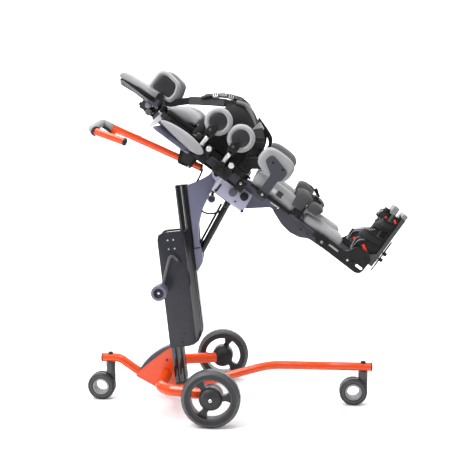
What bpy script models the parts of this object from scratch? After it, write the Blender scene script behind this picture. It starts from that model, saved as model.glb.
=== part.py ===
# Pediatric standing frame: a tilting body support on a crank-lifted mast and a wheeled base.
# Metres, +Z up. The origin is on the floor, at the middle of the frame's length and width.
# The near side is -Y and the feet point to +X.
import math

import bmesh
import bpy
from mathutils import Matrix, Vector

# Fits
GAP = 0.0003          # between pieces that touch
RUN = 0.0004          # between pieces that turn or slide on each other
BITE = 0.0012         # how far joined shapes reach into each other

# Base tubes and wheels, X measured from the wheel axle
AXLE_X = -0.0883
WHEEL_RADIUS = 0.100
WHEEL_WIDTH = 0.045
TRACK = 0.560
HUB_RADIUS = 0.040
RIM_INNER_RADIUS = 0.068
AXLE_RADIUS = 0.006
AXLE_TUBE_RADIUS = 0.0205
AXLE_BASE_X = -0.187
AXLE_CORNER_Y = 0.185
AXLE_BEND_RADIUS = 0.060
LEG_TUBE_RADIUS = 0.0155
REAR_TUBE_Z = 0.156
REAR_STEM_X = -0.395
REAR_BEND_X = -0.361
NOSE_X = -0.290
NOSE_Z = 0.106
FRONT_TUBE_Z = 0.141
FRONT_STEM_X = 0.530
FRONT_BEND_X = 0.190
SOCKET_X = -0.088
SOCKET_Z = 0.0575
TUBE_OVERHANG = 0.029
REAR_BEND_RADIUS = 0.048
FRONT_BEND_RADIUS = 0.330
GUSSET_WIDTH = 0.034
GUSSET_HEIGHT = 0.143

# Casters
CASTER_RADIUS = 0.050
CASTER_WHEEL_WIDTH = 0.016
CASTER_TRAIL = 0.034
CASTER_HUB_RADIUS = 0.0295
CASTER_HOLE_RADIUS = 0.0235
CASTER_WEB = 0.008
STEM_RADIUS = 0.0165

# Mast, in its own leaning frame from the middle of the rear mast's foot
MAST_FOOT_X = -0.1296
MAST_FOOT_Z = 0.068
MAST_LEAN = math.radians(6.6)
MAST_DEPTH = 0.043
MAST_WIDTH = 0.050
MAST_PITCH = 0.0826
REAR_MAST_TOP = 0.553
FRONT_MAST_BOTTOM = 0.200
FRONT_MAST_TOP = 0.7218
GROOVE_WIDTH = 0.006
GROOVE_DEPTH = 0.004
COVER_BOTTOM = 0.143
COVER_TOP = 0.5645
COVER_THICKNESS = 0.0175
COVER_WALL = 0.003
COVER_TOP_RADIUS = 0.040
COVER_FOOT_RADIUS = 0.055

# Lift drive, in the mast frame
DRIVE_X = 0.048
CRANK_Z = 0.456
SCREW_RADIUS = 0.007
GEAR_RADIUS = 0.0115
SHAFT_RADIUS = 0.005
GRIP_X = -0.0215
GRIP_Z = 0.3675
GRIP_RADIUS = 0.0285
GRIP_LENGTH = 0.070
CRANK_OUT = 0.078

# Tilt pivot, horn and strut
PIVOT_X = 0.000
PIVOT_Z = 0.840
BODY_TILT = math.radians(36.5)
PIN_RADIUS = 0.007
HORN_INNER = 0.020
HORN_OUTER = 0.028
HORN_EYE_RADIUS = 0.015
STRUT_FOOT_X = -0.065
STRUT_FOOT_Z = 0.5457
STRUT_HEAD_X = 0.0639
STRUT_HEAD_Z = 0.7852
STRUT_RADIUS = 0.012
STRUT_ROD_RADIUS = 0.005
STRUT_PIN_RADIUS = 0.004
STRUT_EYE_RADIUS = 0.0083
STRUT_CYLINDER_LENGTH = 0.192

# Tilting frame: u runs to the feet, n is square to the body, both from the tilt pivot
CHEEK_INNER = 0.046
CHEEK_OUTER = 0.054
HEAD_BOX_START = 0.019
HEAD_BOX_END = 0.154
HEAD_BOX_DEPTH = 0.056
SPINE_START = -0.300
SPINE_END = 0.235
SPINE_HALF_WIDTH = 0.030
SPINE_BOTTOM = 0.0165
SPINE_TOP = 0.048
HIP_PLATE_HALF_WIDTH = 0.085
HIP_PLATE_THICKNESS = 0.008

# Push handle
HANDLE_RADIUS = 0.013
HANDLE_START_U = -0.4365
HANDLE_START_N = -0.1046
HANDLE_END_U = -0.058
HANDLE_END_N = -0.0206
GRIP_SPREAD = 0.150
GRIP_BACK_U = -0.4322
GRIP_BACK_N = -0.1275
GRIP_FRONT_U = -0.3160
GRIP_FRONT_N = -0.0910
SHELF_START = -0.262
CLAMP_START = -0.134
CLAMP_END = -0.088
LEVER_SETBACK = 0.052
LEVER_DROP = 0.024
LEVER_HALF_WIDTH = 0.0080

# Trunk support
SHELL_START = -0.274
SHELL_END = 0.097
SHELL_HALF_WIDTH = 0.130
SHELL_THICKNESS = 0.0197
CUSHION_HALF_WIDTH = 0.114
RAIL_START = -0.112
RAIL_END = 0.092
RAIL_Y = 0.120
RAIL_SIZE = 0.016
POST_RADIUS = 0.007
POST_Y = 0.150
TRUNK_PADS_U = (-0.097, -0.003)
TRUNK_PAD_N = 0.158
TRUNK_PAD_RADIUS = 0.0468
TRUNK_PAD_Y = 0.165
KNUCKLE_Y = 0.184
KNUCKLE_N = 0.1025
KNUCKLE_PIN_RADIUS = 0.003

# Arm pads
ARM_PAD_U = -0.1647
ARM_PAD_LENGTH = 0.183
ARM_PAD_N = 0.0455
ARM_PAD_HEIGHT = 0.046
ARM_PAD_Y = 0.188
ARM_PAD_WIDTH = 0.034

# Head support, in a frame tipped against the body
HEAD_U = -0.400
HEAD_N = 0.061
HEAD_TIP = math.radians(6.0)
HEAD_PLATE_LENGTH = 0.150
HEAD_PAD_LENGTH = 0.182
HEAD_PAD_HALF_WIDTH = 0.068
HEAD_PAD_HEIGHT = 0.044
HEAD_ROD_RADIUS = 0.007
HEAD_ROD_N = 0.032
SIDE_PAD_X = 0.093
SIDE_PAD_Z = 0.069
SIDE_PAD_LENGTH = 0.106
SIDE_PAD_HEIGHT = 0.088
SIDE_PAD_Y = 0.0845
SIDE_PAD_THICKNESS = 0.027
SIDE_KNUCKLE_Z = 0.012

# Hip supports
HIP_U = 0.146
HIP_N = 0.161
HIP_PAD_LENGTH = 0.134
HIP_PAD_HEIGHT = 0.094
HIP_PAD_Y = 0.163
HIP_PAD_THICKNESS = 0.0255
HIP_ARM_U = 0.166
HIP_ARM_WIDTH = 0.032

# Feet, first because the leg's tail follows the footplate
FOOTPLATE_U = 0.601
FOOTPLATE_THICKNESS = 0.012
FOOTPLATE_BOTTOM = 0.073
FOOTPLATE_TOP = 0.282
FOOT_REST_TURN = math.radians(-2.0)
FOOT_Y = 0.1165
FOOTPLATE_WIDTH = 0.080
FOOT_HINGE_SETBACK = 0.021
FOOT_HINGE_U = FOOTPLATE_U - FOOT_HINGE_SETBACK
FOOT_HINGE_N = 0.085
FOOT_HINGE_RADIUS = 0.004
FOOT_BRACKET_Y = 0.161
FOOT_BRACKET_THICKNESS = 0.005
FOOT_BRACKET_START = 0.405
FOOT_BRACKET_END = FOOTPLATE_U - 0.004
FOOT_BRACKET_LENGTH = FOOT_BRACKET_END - FOOT_BRACKET_START
SLOT_N = 0.049
SLOT_RADIUS = 0.0045
SLOT_BOLTS_U = (
    FOOT_BRACKET_START + FOOT_BRACKET_LENGTH * 0.21,
    FOOT_BRACKET_START + FOOT_BRACKET_LENGTH * 0.755,
)
SLOT_LENGTHS = (FOOT_BRACKET_LENGTH * 0.26, FOOT_BRACKET_LENGTH * 0.24)
SANDAL_WIDTH = 0.064
SANDAL_WALL = 0.005
SANDAL_HEIGHT = 0.078
SANDAL_HEEL_N = 0.082
SANDAL_TOE_N = 0.273

# Legs
LEG_HINGE_U = 0.140
LEG_HINGE_Y = 0.060
LEG_HINGE_RADIUS = 0.005
LEG_PLATE_INNER = 0.064
LEG_PLATE_OUTER = 0.156
LEG_PLATE_THICKNESS = 0.008
KNEE_U = 0.305
KNEE_LENGTH = 0.104
KNEE_TOP_N = 0.140
KNEE_WALL = 0.012
THIGH_START = LEG_HINGE_U - 0.026
THIGH_END = KNEE_U - 0.017
THIGH_HEIGHT = 0.061
CALF_START = KNEE_U + 0.022
CALF_END = FOOTPLATE_U - SANDAL_HEIGHT - 0.040
CALF_HEIGHT = 0.048
LEG_PLATE_END = CALF_END - 0.012
LEG_PAD_INNER = 0.070
LEG_PAD_OUTER = 0.155
BEAM_INNER = 0.096
BEAM_OUTER = 0.146
BEAM_START = KNEE_U - 0.076
BEAM_END = FOOT_BRACKET_START + 0.035

# Chest harness
HARNESS_START = -0.172
HARNESS_END = 0.022
HARNESS_TOP_N = 0.250
HARNESS_HALF_WIDTH = 0.126
HARNESS_THICKNESS = 0.007

NEAR = -1
FAR = 1
SIDES = (("near", NEAR), ("far", FAR))

# Colour, roughness and metallic value of each finish
ORANGE = ((0.78, 0.09, 0.02, 1.0), 0.25, 0.0)
BLACK = ((0.02, 0.02, 0.025, 1.0), 0.40, 0.0)
SLATE = ((0.13, 0.13, 0.19, 1.0), 0.35, 0.3)
LILAC = ((0.48, 0.48, 0.60, 1.0), 0.40, 0.2)
RUBBER = ((0.05, 0.05, 0.055, 1.0), 0.70, 0.0)
STEEL = ((0.60, 0.60, 0.62, 1.0), 0.25, 1.0)
GREY_FABRIC = ((0.38, 0.38, 0.40, 1.0), 0.90, 0.0)
CHARCOAL_FABRIC = ((0.07, 0.07, 0.075, 1.0), 0.95, 0.0)

for old in list(bpy.data.objects):
    bpy.data.objects.remove(old, do_unlink=True)
PARTS = bpy.data.collections.new("pediatric_standing_frame")
bpy.context.scene.collection.children.link(PARTS)


def frame(name, parent, location, turn_y=0.0):
    """An empty that carries pieces; a joint's axis passes through it."""
    empty = bpy.data.objects.new(name, None)
    PARTS.objects.link(empty)
    empty.parent = parent
    empty.location = location
    empty.rotation_euler = (0.0, turn_y, 0.0)
    return empty


def solid(bm):
    """A new object from a bmesh, its faces pointing out."""
    bmesh.ops.remove_doubles(bm, verts=bm.verts, dist=1e-6)
    bmesh.ops.recalc_face_normals(bm, faces=bm.faces)
    mesh = bpy.data.meshes.new("solid")
    bm.to_mesh(mesh)
    bm.free()
    piece = bpy.data.objects.new("solid", mesh)
    PARTS.objects.link(piece)
    return piece


def baked(piece):
    """The object with its curve or modifiers turned into a plain mesh."""
    depsgraph = bpy.context.evaluated_depsgraph_get()
    mesh = bpy.data.meshes.new_from_object(piece.evaluated_get(depsgraph))
    bpy.data.objects.remove(piece, do_unlink=True)
    bm = bmesh.new()
    bm.from_mesh(mesh)
    bmesh.ops.remove_doubles(bm, verts=bm.verts, dist=1e-5)
    return solid(bm)


def combine(piece, operation, tools):
    """Join tools to the piece, or cut them from it."""
    for tool in tools:
        step = piece.modifiers.new("boolean", "BOOLEAN")
        step.operation = operation
        step.solver = "EXACT"
        step.object = tool
        depsgraph = bpy.context.evaluated_depsgraph_get()
        mesh = bpy.data.meshes.new_from_object(piece.evaluated_get(depsgraph))
        piece.modifiers.clear()
        piece.data = mesh
        bpy.data.objects.remove(tool, do_unlink=True)
    return piece


def join(piece, *tools):
    return combine(piece, "UNION", tools)


def cut(piece, *tools):
    return combine(piece, "DIFFERENCE", tools)


def part(name, piece, parent, finish):
    """Name a finished piece, hang it on its frame and give it its own material."""
    piece.name = name
    piece.data.name = name
    piece.parent = parent
    colour, roughness, metallic = finish
    material = bpy.data.materials.new(name)
    material.use_nodes = True
    shader = material.node_tree.nodes["Principled BSDF"]
    shader.inputs["Base Color"].default_value = colour
    shader.inputs["Roughness"].default_value = roughness
    shader.inputs["Metallic"].default_value = metallic
    piece.data.materials.clear()
    piece.data.materials.append(material)
    piece.data.shade_smooth()
    piece.data.set_sharp_from_angle(angle=math.radians(35))
    return piece


def box(low, high):
    """A block between two corners, given in any order."""
    low, high = Vector(low), Vector(high)
    bm = bmesh.new()
    bmesh.ops.create_cube(bm, size=1.0)
    size = Matrix.Diagonal([abs(b - a) for a, b in zip(low, high)] + [1.0])
    bmesh.ops.transform(bm, matrix=Matrix.Translation((low + high) / 2) @ size, verts=bm.verts)
    return solid(bm)


def rod(start, end, radius, sides=12, end_radius=None):
    """A round bar or cone between two points, a flat side turned down."""
    start, end = Vector(start), Vector(end)
    along = end - start
    turn = along.to_track_quat("Z", "Y").to_matrix().to_4x4()
    spin = Matrix.Rotation(math.pi / sides, 4, "Z")
    bm = bmesh.new()
    bmesh.ops.create_cone(
        bm,
        cap_ends=True,
        segments=sides,
        radius1=radius,
        radius2=radius if end_radius is None else end_radius,
        depth=along.length,
        matrix=Matrix.Translation((start + end) / 2) @ turn @ spin,
    )
    return solid(bm)


def rounded(corners, closed, steps=4):
    """Points of a path whose corners, each a point and a radius, are rounded."""
    points = []
    count = len(corners)
    for index, (corner, radius) in enumerate(corners):
        corner = Vector(corner)
        inner = closed or 0 < index < count - 1
        if not inner or radius <= 0.0:
            points.append(corner)
            continue
        before = (Vector(corners[index - 1][0]) - corner).normalized()
        after = (Vector(corners[(index + 1) % count][0]) - corner).normalized()
        half = before.angle(after) / 2
        reach = radius / math.tan(half)
        middle = corner + (before + after).normalized() * (radius / math.sin(half))
        start = corner + before * reach - middle
        end = corner + after * reach - middle
        sweep = start.angle(end)
        for step in range(steps + 1):
            share = step / steps
            arc = (start * math.sin((1 - share) * sweep) + end * math.sin(share * sweep)) / math.sin(sweep)
            points.append(middle + arc)
    return points


def plate(corners, low, high, axis="Y", steps=3):
    """A flat outline with rounded corners, extruded from low to high along an axis."""
    flat = [(Vector((a, b, 0.0)), radius) for a, b, radius in corners]
    half = abs(high - low) / 2
    bm = bmesh.new()
    base = bm.faces.new([bm.verts.new((*point.xy, -half)) for point in rounded(flat, True, steps)])
    raised = bmesh.ops.extrude_face_region(bm, geom=[base], use_keep_orig=True)["geom"]
    top = [item for item in raised if isinstance(item, bmesh.types.BMVert)]
    bmesh.ops.translate(bm, verts=top, vec=(0.0, 0.0, 2 * half))
    piece = solid(bm)
    middle = (low + high) / 2
    turns = {
        "Z": Matrix.Translation((0.0, 0.0, middle)),
        "Y": Matrix.Translation((0.0, middle, 0.0)) @ Matrix.Rotation(math.pi / 2, 4, "X"),
        "X": Matrix.Translation((middle, 0.0, 0.0)) @ Matrix(
            ((0, 0, 1, 0), (1, 0, 0, 0), (0, 1, 0, 0), (0, 0, 0, 1))
        ),
    }
    piece.data.transform(turns[axis])
    return piece


def tube(corners, radius, sides=12, steps=4):
    """A bent round bar along points with bend radii."""
    points = rounded(corners, False, steps)
    curve = bpy.data.curves.new("tube", "CURVE")
    curve.dimensions = "3D"
    curve.bevel_depth = radius
    curve.bevel_resolution = sides // 2 - 2
    curve.use_fill_caps = True
    spline = curve.splines.new("POLY")
    spline.points.add(len(points) - 1)
    for place, point in zip(spline.points, points):
        place.co = (*point, 1.0)
    piece = bpy.data.objects.new("tube", curve)
    PARTS.objects.link(piece)
    return baked(piece)


def turned(profile, sides, centre, out, closed=False):
    """A profile of (radius, height) turned about Y; heights run along out, +1 or -1."""
    mesh = bpy.data.meshes.new("profile")
    points = [(radius / math.cos(math.pi / sides), 0.0, height) for radius, height in profile]
    edges = [(index, index + 1) for index in range(len(points) - 1)]
    if closed:
        edges.append((len(points) - 1, 0))
    mesh.from_pydata(points, edges, [])
    piece = bpy.data.objects.new("profile", mesh)
    PARTS.objects.link(piece)
    screw = piece.modifiers.new("turn", "SCREW")
    screw.steps = sides
    screw.render_steps = sides
    screw.use_merge_vertices = True
    screw.merge_threshold = 1e-5
    piece = baked(piece)
    lay = Matrix.Rotation(-out * math.pi / 2, 4, "X")
    spin = Matrix.Rotation(math.pi / sides, 4, "Z")
    piece.data.transform(Matrix.Translation(centre) @ lay @ spin)
    return piece


def cushion(shape, x_loops, y_loops, z_loops=()):
    """A soft form: a coarse cage, shaped by a rule on a cube of half size 1, and smoothed."""
    bm = bmesh.new()
    bmesh.ops.create_cube(bm, size=2.0)
    for axis, loops in enumerate((x_loops, y_loops, z_loops)):
        normal = Vector((0.0, 0.0, 0.0))
        normal[axis] = 1.0
        for place in loops:
            geometry = bm.verts[:] + bm.edges[:] + bm.faces[:]
            bmesh.ops.bisect_plane(bm, geom=geometry, plane_co=normal * place, plane_no=normal)
    for vert in bm.verts:
        vert.co = shape(*vert.co)
    piece = solid(bm)
    smooth = piece.modifiers.new("smooth", "SUBSURF")
    smooth.levels = 1
    smooth.render_levels = 1
    return baked(piece)


def pad(low, high, crown, waist, loop=0.72):
    """A cushion in a box: flat below, crowned above, its sides drawn in between the corners."""
    low, high = Vector(low), Vector(high)
    middle = (low + high) / 2
    half = (high - low) / 2

    def shape(x, y, z):
        bulge = (1 - x * x) * (1 - y * y)
        rise = crown * (bulge - 1) if z > 0 else 0.0
        along = x * (1 - waist * (1 - y * y))
        across = y * (1 - waist * (1 - x * x))
        return middle + Vector((along * half.x, across * half.y, z * half.z + rise))

    return cushion(shape, (-loop, loop), (-loop, loop), (0.35,))


def side_span(side, inner, outer):
    """The Y range between two distances from the middle, on one side."""
    return sorted((side * inner, side * outer))


def side_box(side, u, y, n):
    """A block given by its ranges, its Y range measured outward from the middle."""
    return box((u[0], side * y[0], n[0]), (u[1], side * y[1], n[1]))


def cross_rod(u, n, inner, outer, radius, sides=12):
    """A round bar along Y between two Y places."""
    return rod((u, inner, n), (u, outer, n), radius, sides)


def build_base(root):
    half_gusset = GUSSET_WIDTH / 2
    rear_end = REAR_STEM_X - TUBE_OVERHANG
    bend = Vector((REAR_BEND_X, 0.0, REAR_TUBE_Z))
    nose = Vector((NOSE_X, 0.0, NOSE_Z))
    down = (nose - bend).normalized()
    rear = tube(
        [((rear_end, 0.0, REAR_TUBE_Z), 0.0), (bend, REAR_BEND_RADIUS), (nose, 0.0)],
        LEG_TUBE_RADIUS,
        12,
    )
    part("rear_leg_tube", rear, root, ORANGE)

    socket = Vector((SOCKET_X, 0.0, SOCKET_Z))
    front_bend = Vector((FRONT_BEND_X, 0.0, FRONT_TUBE_Z))
    rise = (front_bend - socket).normalized()
    front = tube(
        [
            (socket + rise * GAP, 0.0),
            (front_bend, FRONT_BEND_RADIUS),
            ((FRONT_STEM_X + TUBE_OVERHANG, 0.0, FRONT_TUBE_Z), 0.0),
        ],
        LEG_TUBE_RADIUS,
        12,
        5,
    )
    part("front_leg_tube", front, root, ORANGE)

    # The gusset fills the corner between rear tube and mast, and its foot is the mast's socket.
    def on_mast(x, z):
        return Vector((
            MAST_FOOT_X + x * math.cos(MAST_LEAN) - z * math.sin(MAST_LEAN),
            MAST_FOOT_Z + x * math.sin(MAST_LEAN) + z * math.cos(MAST_LEAN),
        ))

    across = Vector((-down.z, down.x))
    reach = LEG_TUBE_RADIUS + 0.001
    nose_face = Vector((nose.x + down.x * GAP, nose.z + down.z * GAP))
    end_across = Vector((-rise.z, rise.x))
    end_face = Vector((socket.x, socket.z))
    back = -MAST_DEPTH / 2 - GAP
    top = on_mast(back, GUSSET_HEIGHT)
    crest = (nose_face + across * reach).lerp(top, 0.48) + Vector((-0.009, 0.013))
    outline = [
        (*(nose_face + across * reach), 0.0),
        (*crest, 0.090),
        (*top, 0.0),
        (*on_mast(back, -GAP), 0.0),
        (*on_mast(MAST_DEPTH / 2 + GAP, -GAP), 0.0),
        (*(end_face + end_across * reach), 0.0),
        (*(end_face - end_across * reach), 0.0),
        (AXLE_BASE_X, MAST_FOOT_Z - 0.036, 0.030),
        (*(nose_face - across * reach), 0.0),
    ]
    gusset = plate(outline, -half_gusset, half_gusset)
    hole = cross_rod(AXLE_BASE_X, WHEEL_RADIUS, -GUSSET_WIDTH, GUSSET_WIDTH, AXLE_TUBE_RADIUS + 2 * GAP, 24)
    part("mast_gusset", cut(gusset, hole), root, ORANGE)

    inner_face = (TRACK - WHEEL_WIDTH) / 2
    arm_y = inner_face - AXLE_TUBE_RADIUS - 0.0025
    path = [
        ((0.0, -arm_y, WHEEL_RADIUS), 0.0),
        ((AXLE_BASE_X, -AXLE_CORNER_Y, WHEEL_RADIUS), AXLE_BEND_RADIUS),
        ((AXLE_BASE_X, AXLE_CORNER_Y, WHEEL_RADIUS), AXLE_BEND_RADIUS),
        ((0.0, arm_y, WHEEL_RADIUS), 0.0),
    ]
    axle = tube(path, AXLE_TUBE_RADIUS, 12, 4)
    for side in (NEAR, FAR):
        boss = cross_rod(0.0, WHEEL_RADIUS, side * (arm_y - 0.012), side * (inner_face - RUN), 0.020, 14)
        stub = cross_rod(0.0, WHEEL_RADIUS, side * arm_y, side * (inner_face + WHEEL_WIDTH * 0.95), AXLE_RADIUS)
        axle = join(axle, boss, stub)
    part("axle_tube", axle, root, ORANGE)


def build_wheel(name, root, side, first_spoke):
    """A moulded wheel: tyre ring, three flared spokes and a domed hub on its axle bore."""
    axis = frame(name + "_axis", root, (0.0, side * TRACK / 2, WHEEL_RADIUS))
    half = WHEEL_WIDTH / 2
    inner = RIM_INNER_RADIUS
    ring = [
        (inner, -half * 0.85), (WHEEL_RADIUS - 0.012, -half), (WHEEL_RADIUS, -half * 0.45),
        (WHEEL_RADIUS, half * 0.45), (WHEEL_RADIUS - 0.012, half), (inner, half * 0.85),
    ]
    hub = [
        (0.0, -half), (HUB_RADIUS, -half), (HUB_RADIUS, half * 0.3), (HUB_RADIUS * 0.75, half * 0.9),
        (0.0, half * 1.2),
    ]
    wheel = turned(ring, 32, (0.0, 0.0, 0.0), side, closed=True)
    spokes = []
    for turn in range(3):
        spoke = plate(
            [
                (HUB_RADIUS * 0.8, -0.012, 0.0), (HUB_RADIUS + 0.010, -0.009, 0.012),
                (inner + 0.006, -0.021, 0.0), (inner + 0.006, 0.021, 0.0),
                (HUB_RADIUS + 0.010, 0.009, 0.012), (HUB_RADIUS * 0.8, 0.012, 0.0),
            ],
            *sorted((-side * half * 0.5, side * half * 0.4)),
            steps=2,
        )
        angle = math.radians(first_spoke + 120 * turn)
        spoke.data.transform(Matrix.Rotation(-angle, 4, "Y"))
        spokes.append(spoke)
    middle = turned(hub, 18, (0.0, 0.0, 0.0), side)
    wheel = join(wheel, *spokes, middle)
    bore = cross_rod(0.0, 0.0, -WHEEL_WIDTH, WHEEL_WIDTH, AXLE_RADIUS + RUN)
    part(name, cut(wheel, bore), axis, RUBBER)


def build_caster(name, root, stem_x, tube_z):
    """A swivel fork with a hollow hub between twin ring wheels."""
    swivel = frame(name + "_swivel", root, (stem_x, 0.0, 0.0))
    axle = frame(name + "_axle", swivel, (-CASTER_TRAIL, 0.0, CASTER_RADIUS))
    stem_top = tube_z - LEG_TUBE_RADIUS - GAP
    stem_foot = CASTER_RADIUS * 2 + 0.0005
    web = CASTER_WEB / 2
    hub_end = web + CASTER_WHEEL_WIDTH + 0.001
    fork = cross_rod(-CASTER_TRAIL, CASTER_RADIUS, -web, web, CASTER_RADIUS * 0.82, 20)
    hub = cross_rod(-CASTER_TRAIL, CASTER_RADIUS, -hub_end, hub_end, CASTER_HUB_RADIUS, 20)
    neck = box((-STEM_RADIUS, -web, CASTER_RADIUS), (STEM_RADIUS, web, stem_foot + 0.010))
    stem = rod((0.0, 0.0, stem_foot), (0.0, 0.0, stem_top), STEM_RADIUS, 14)
    fork = join(fork, hub, neck, stem)
    hole = cross_rod(-CASTER_TRAIL, CASTER_RADIUS, -2 * hub_end, 2 * hub_end, CASTER_HOLE_RADIUS, 20)
    part(name + "_fork", cut(fork, hole), swivel, RUBBER)
    bore = CASTER_HUB_RADIUS + RUN
    width = CASTER_WHEEL_WIDTH
    ring = [
        (bore, 0.0), (CASTER_RADIUS, 0.0), (CASTER_RADIUS, width - 0.005), (CASTER_RADIUS - 0.006, width),
        (bore, width),
    ]
    for word, side in SIDES:
        wheel = turned(ring, 24, (0.0, side * (web + RUN), 0.0), side, closed=True)
        part(f"{name}_wheel_{word}", wheel, axle, RUBBER)


def mast_outline(middle_x):
    """The mast's section: a rounded box with two grooves along each side face."""
    x = MAST_DEPTH / 2
    y = MAST_WIDTH / 2
    floor = y - GROOVE_DEPTH
    places = (-x * 0.42, x * 0.42)
    half = GROOVE_WIDTH / 2
    corners = [(middle_x - x, -y, 0.004)]
    for place in places:
        corners += [
            (middle_x + place - half, -y, 0.0), (middle_x + place - half, -floor, 0.0),
            (middle_x + place + half, -floor, 0.0), (middle_x + place + half, -y, 0.0),
        ]
    corners += [(middle_x + x, -y, 0.004), (middle_x + x, y, 0.004)]
    for place in reversed(places):
        corners += [
            (middle_x + place + half, y, 0.0), (middle_x + place + half, floor, 0.0),
            (middle_x + place - half, floor, 0.0), (middle_x + place - half, y, 0.0),
        ]
    corners.append((middle_x - x, y, 0.004))
    return corners


def build_mast(mast):
    x = MAST_DEPTH / 2
    front_face = MAST_PITCH - x - RUN
    rear = plate(mast_outline(0.0), 0.0, REAR_MAST_TOP, "Z", 2)
    guide = box((x - BITE, -0.018, COVER_TOP - 0.075), (front_face, 0.018, COVER_TOP - 0.020))
    bearing = box((x - BITE, -0.014, COVER_BOTTOM + 0.007), (front_face, 0.014, COVER_BOTTOM + 0.0225))
    part("rear_mast", join(rear, guide, bearing), mast, BLACK)

    cover_inner = MAST_WIDTH / 2 + GAP
    cover_outer = cover_inner + COVER_THICKNESS
    right = MAST_PITCH + x - 0.004
    corners = [
        (-x, COVER_BOTTOM, 0.006), (right, COVER_BOTTOM, COVER_FOOT_RADIUS),
        (right, COVER_TOP, 0.012), (-x, COVER_TOP, COVER_TOP_RADIUS),
    ]
    wall = COVER_WALL
    pocket = [
        (-x + wall, COVER_BOTTOM + wall, 0.003), (right - wall, COVER_BOTTOM + wall, COVER_FOOT_RADIUS - wall),
        (right - wall, COVER_TOP - wall, 0.009), (-x + wall, COVER_TOP - wall, COVER_TOP_RADIUS - wall),
    ]
    for word, side in SIDES:
        cover = plate(corners, *side_span(side, cover_inner, cover_outer), steps=4)
        hollow = plate(pocket, *side_span(side, 0.0, cover_outer - wall), steps=4)
        if side == NEAR:
            passage = cross_rod(DRIVE_X, CRANK_Z, 0.0, -2 * cover_outer, SHAFT_RADIUS + RUN)
            cover = cut(cover, passage)
        cover = cut(cover, hollow)
        part(f"housing_{word}_cover", cover, mast, BLACK)

    # Bevel gears of the lift drive are plain cones that clear each other by a little.
    slip = 0.0006
    tip = GEAR_RADIUS / 2
    screw_axis = frame("screw_axis", mast, (DRIVE_X, 0.0, 0.0))
    screw = rod((0.0, 0.0, COVER_BOTTOM + 0.0225 + RUN), (0.0, 0.0, CRANK_Z - GEAR_RADIUS + BITE), SCREW_RADIUS)
    gear = rod(
        (0.0, 0.0, CRANK_Z - GEAR_RADIUS), (0.0, 0.0, CRANK_Z - tip),
        GEAR_RADIUS - slip, 14, tip - slip,
    )
    part("lead_screw", join(screw, gear), screw_axis, STEEL)

    crank_axis = frame("crank_axis", mast, (DRIVE_X, 0.0, CRANK_Z))
    reach = Vector((GRIP_X - DRIVE_X, 0.0, GRIP_Z - CRANK_Z))
    hub_y = -cover_outer - 0.016
    grip_start = -CRANK_OUT - 0.008
    crank = rod((0.0, -tip, 0.0), (0.0, hub_y, 0.0), SHAFT_RADIUS)
    crank_gear = rod((0.0, -GEAR_RADIUS, 0.0), (0.0, -tip, 0.0), GEAR_RADIUS - slip, 14, tip - slip)
    hub = rod((0.0, -cover_outer - RUN, 0.0), (0.0, hub_y, 0.0), 0.011, 14)
    arm = tube(
        [
            ((0.0, hub_y + 0.004, 0.0), 0.0), ((-0.022, -CRANK_OUT, 0.038), 0.012),
            ((reach.x, -CRANK_OUT, reach.z), 0.0),
        ],
        SHAFT_RADIUS,
        10,
    )
    pin_end = grip_start - GRIP_LENGTH + 0.006
    pin = rod((reach.x, -CRANK_OUT + 0.004, reach.z), (reach.x, pin_end, reach.z), 0.004)
    part("crank_arm", join(crank, crank_gear, hub, arm, pin), crank_axis, BLACK)

    grip_axis = frame("grip_axis", crank_axis, reach)
    bore = 0.004 + RUN
    radius = GRIP_RADIUS
    profile = [
        (bore, 0.0), (radius * 0.72, 0.0), (radius * 0.92, 0.012), (radius * 0.86, 0.040),
        (radius, GRIP_LENGTH - 0.014), (radius * 0.93, GRIP_LENGTH), (radius * 0.55, GRIP_LENGTH),
        (radius * 0.52, GRIP_LENGTH - 0.008), (bore, GRIP_LENGTH - 0.008),
    ]
    grip = turned(profile, 18, (0.0, grip_start, 0.0), NEAR, closed=True)
    part("crank_grip", grip, grip_axis, BLACK)


def in_mast(x, z):
    """A point of the X-Z plane, from the wheel axle, in the mast's own frame."""
    dx = x - MAST_FOOT_X
    dz = z - MAST_FOOT_Z
    lean = MAST_LEAN
    return (
        dx * math.cos(lean) + dz * math.sin(lean),
        dz * math.cos(lean) - dx * math.sin(lean),
    )


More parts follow.
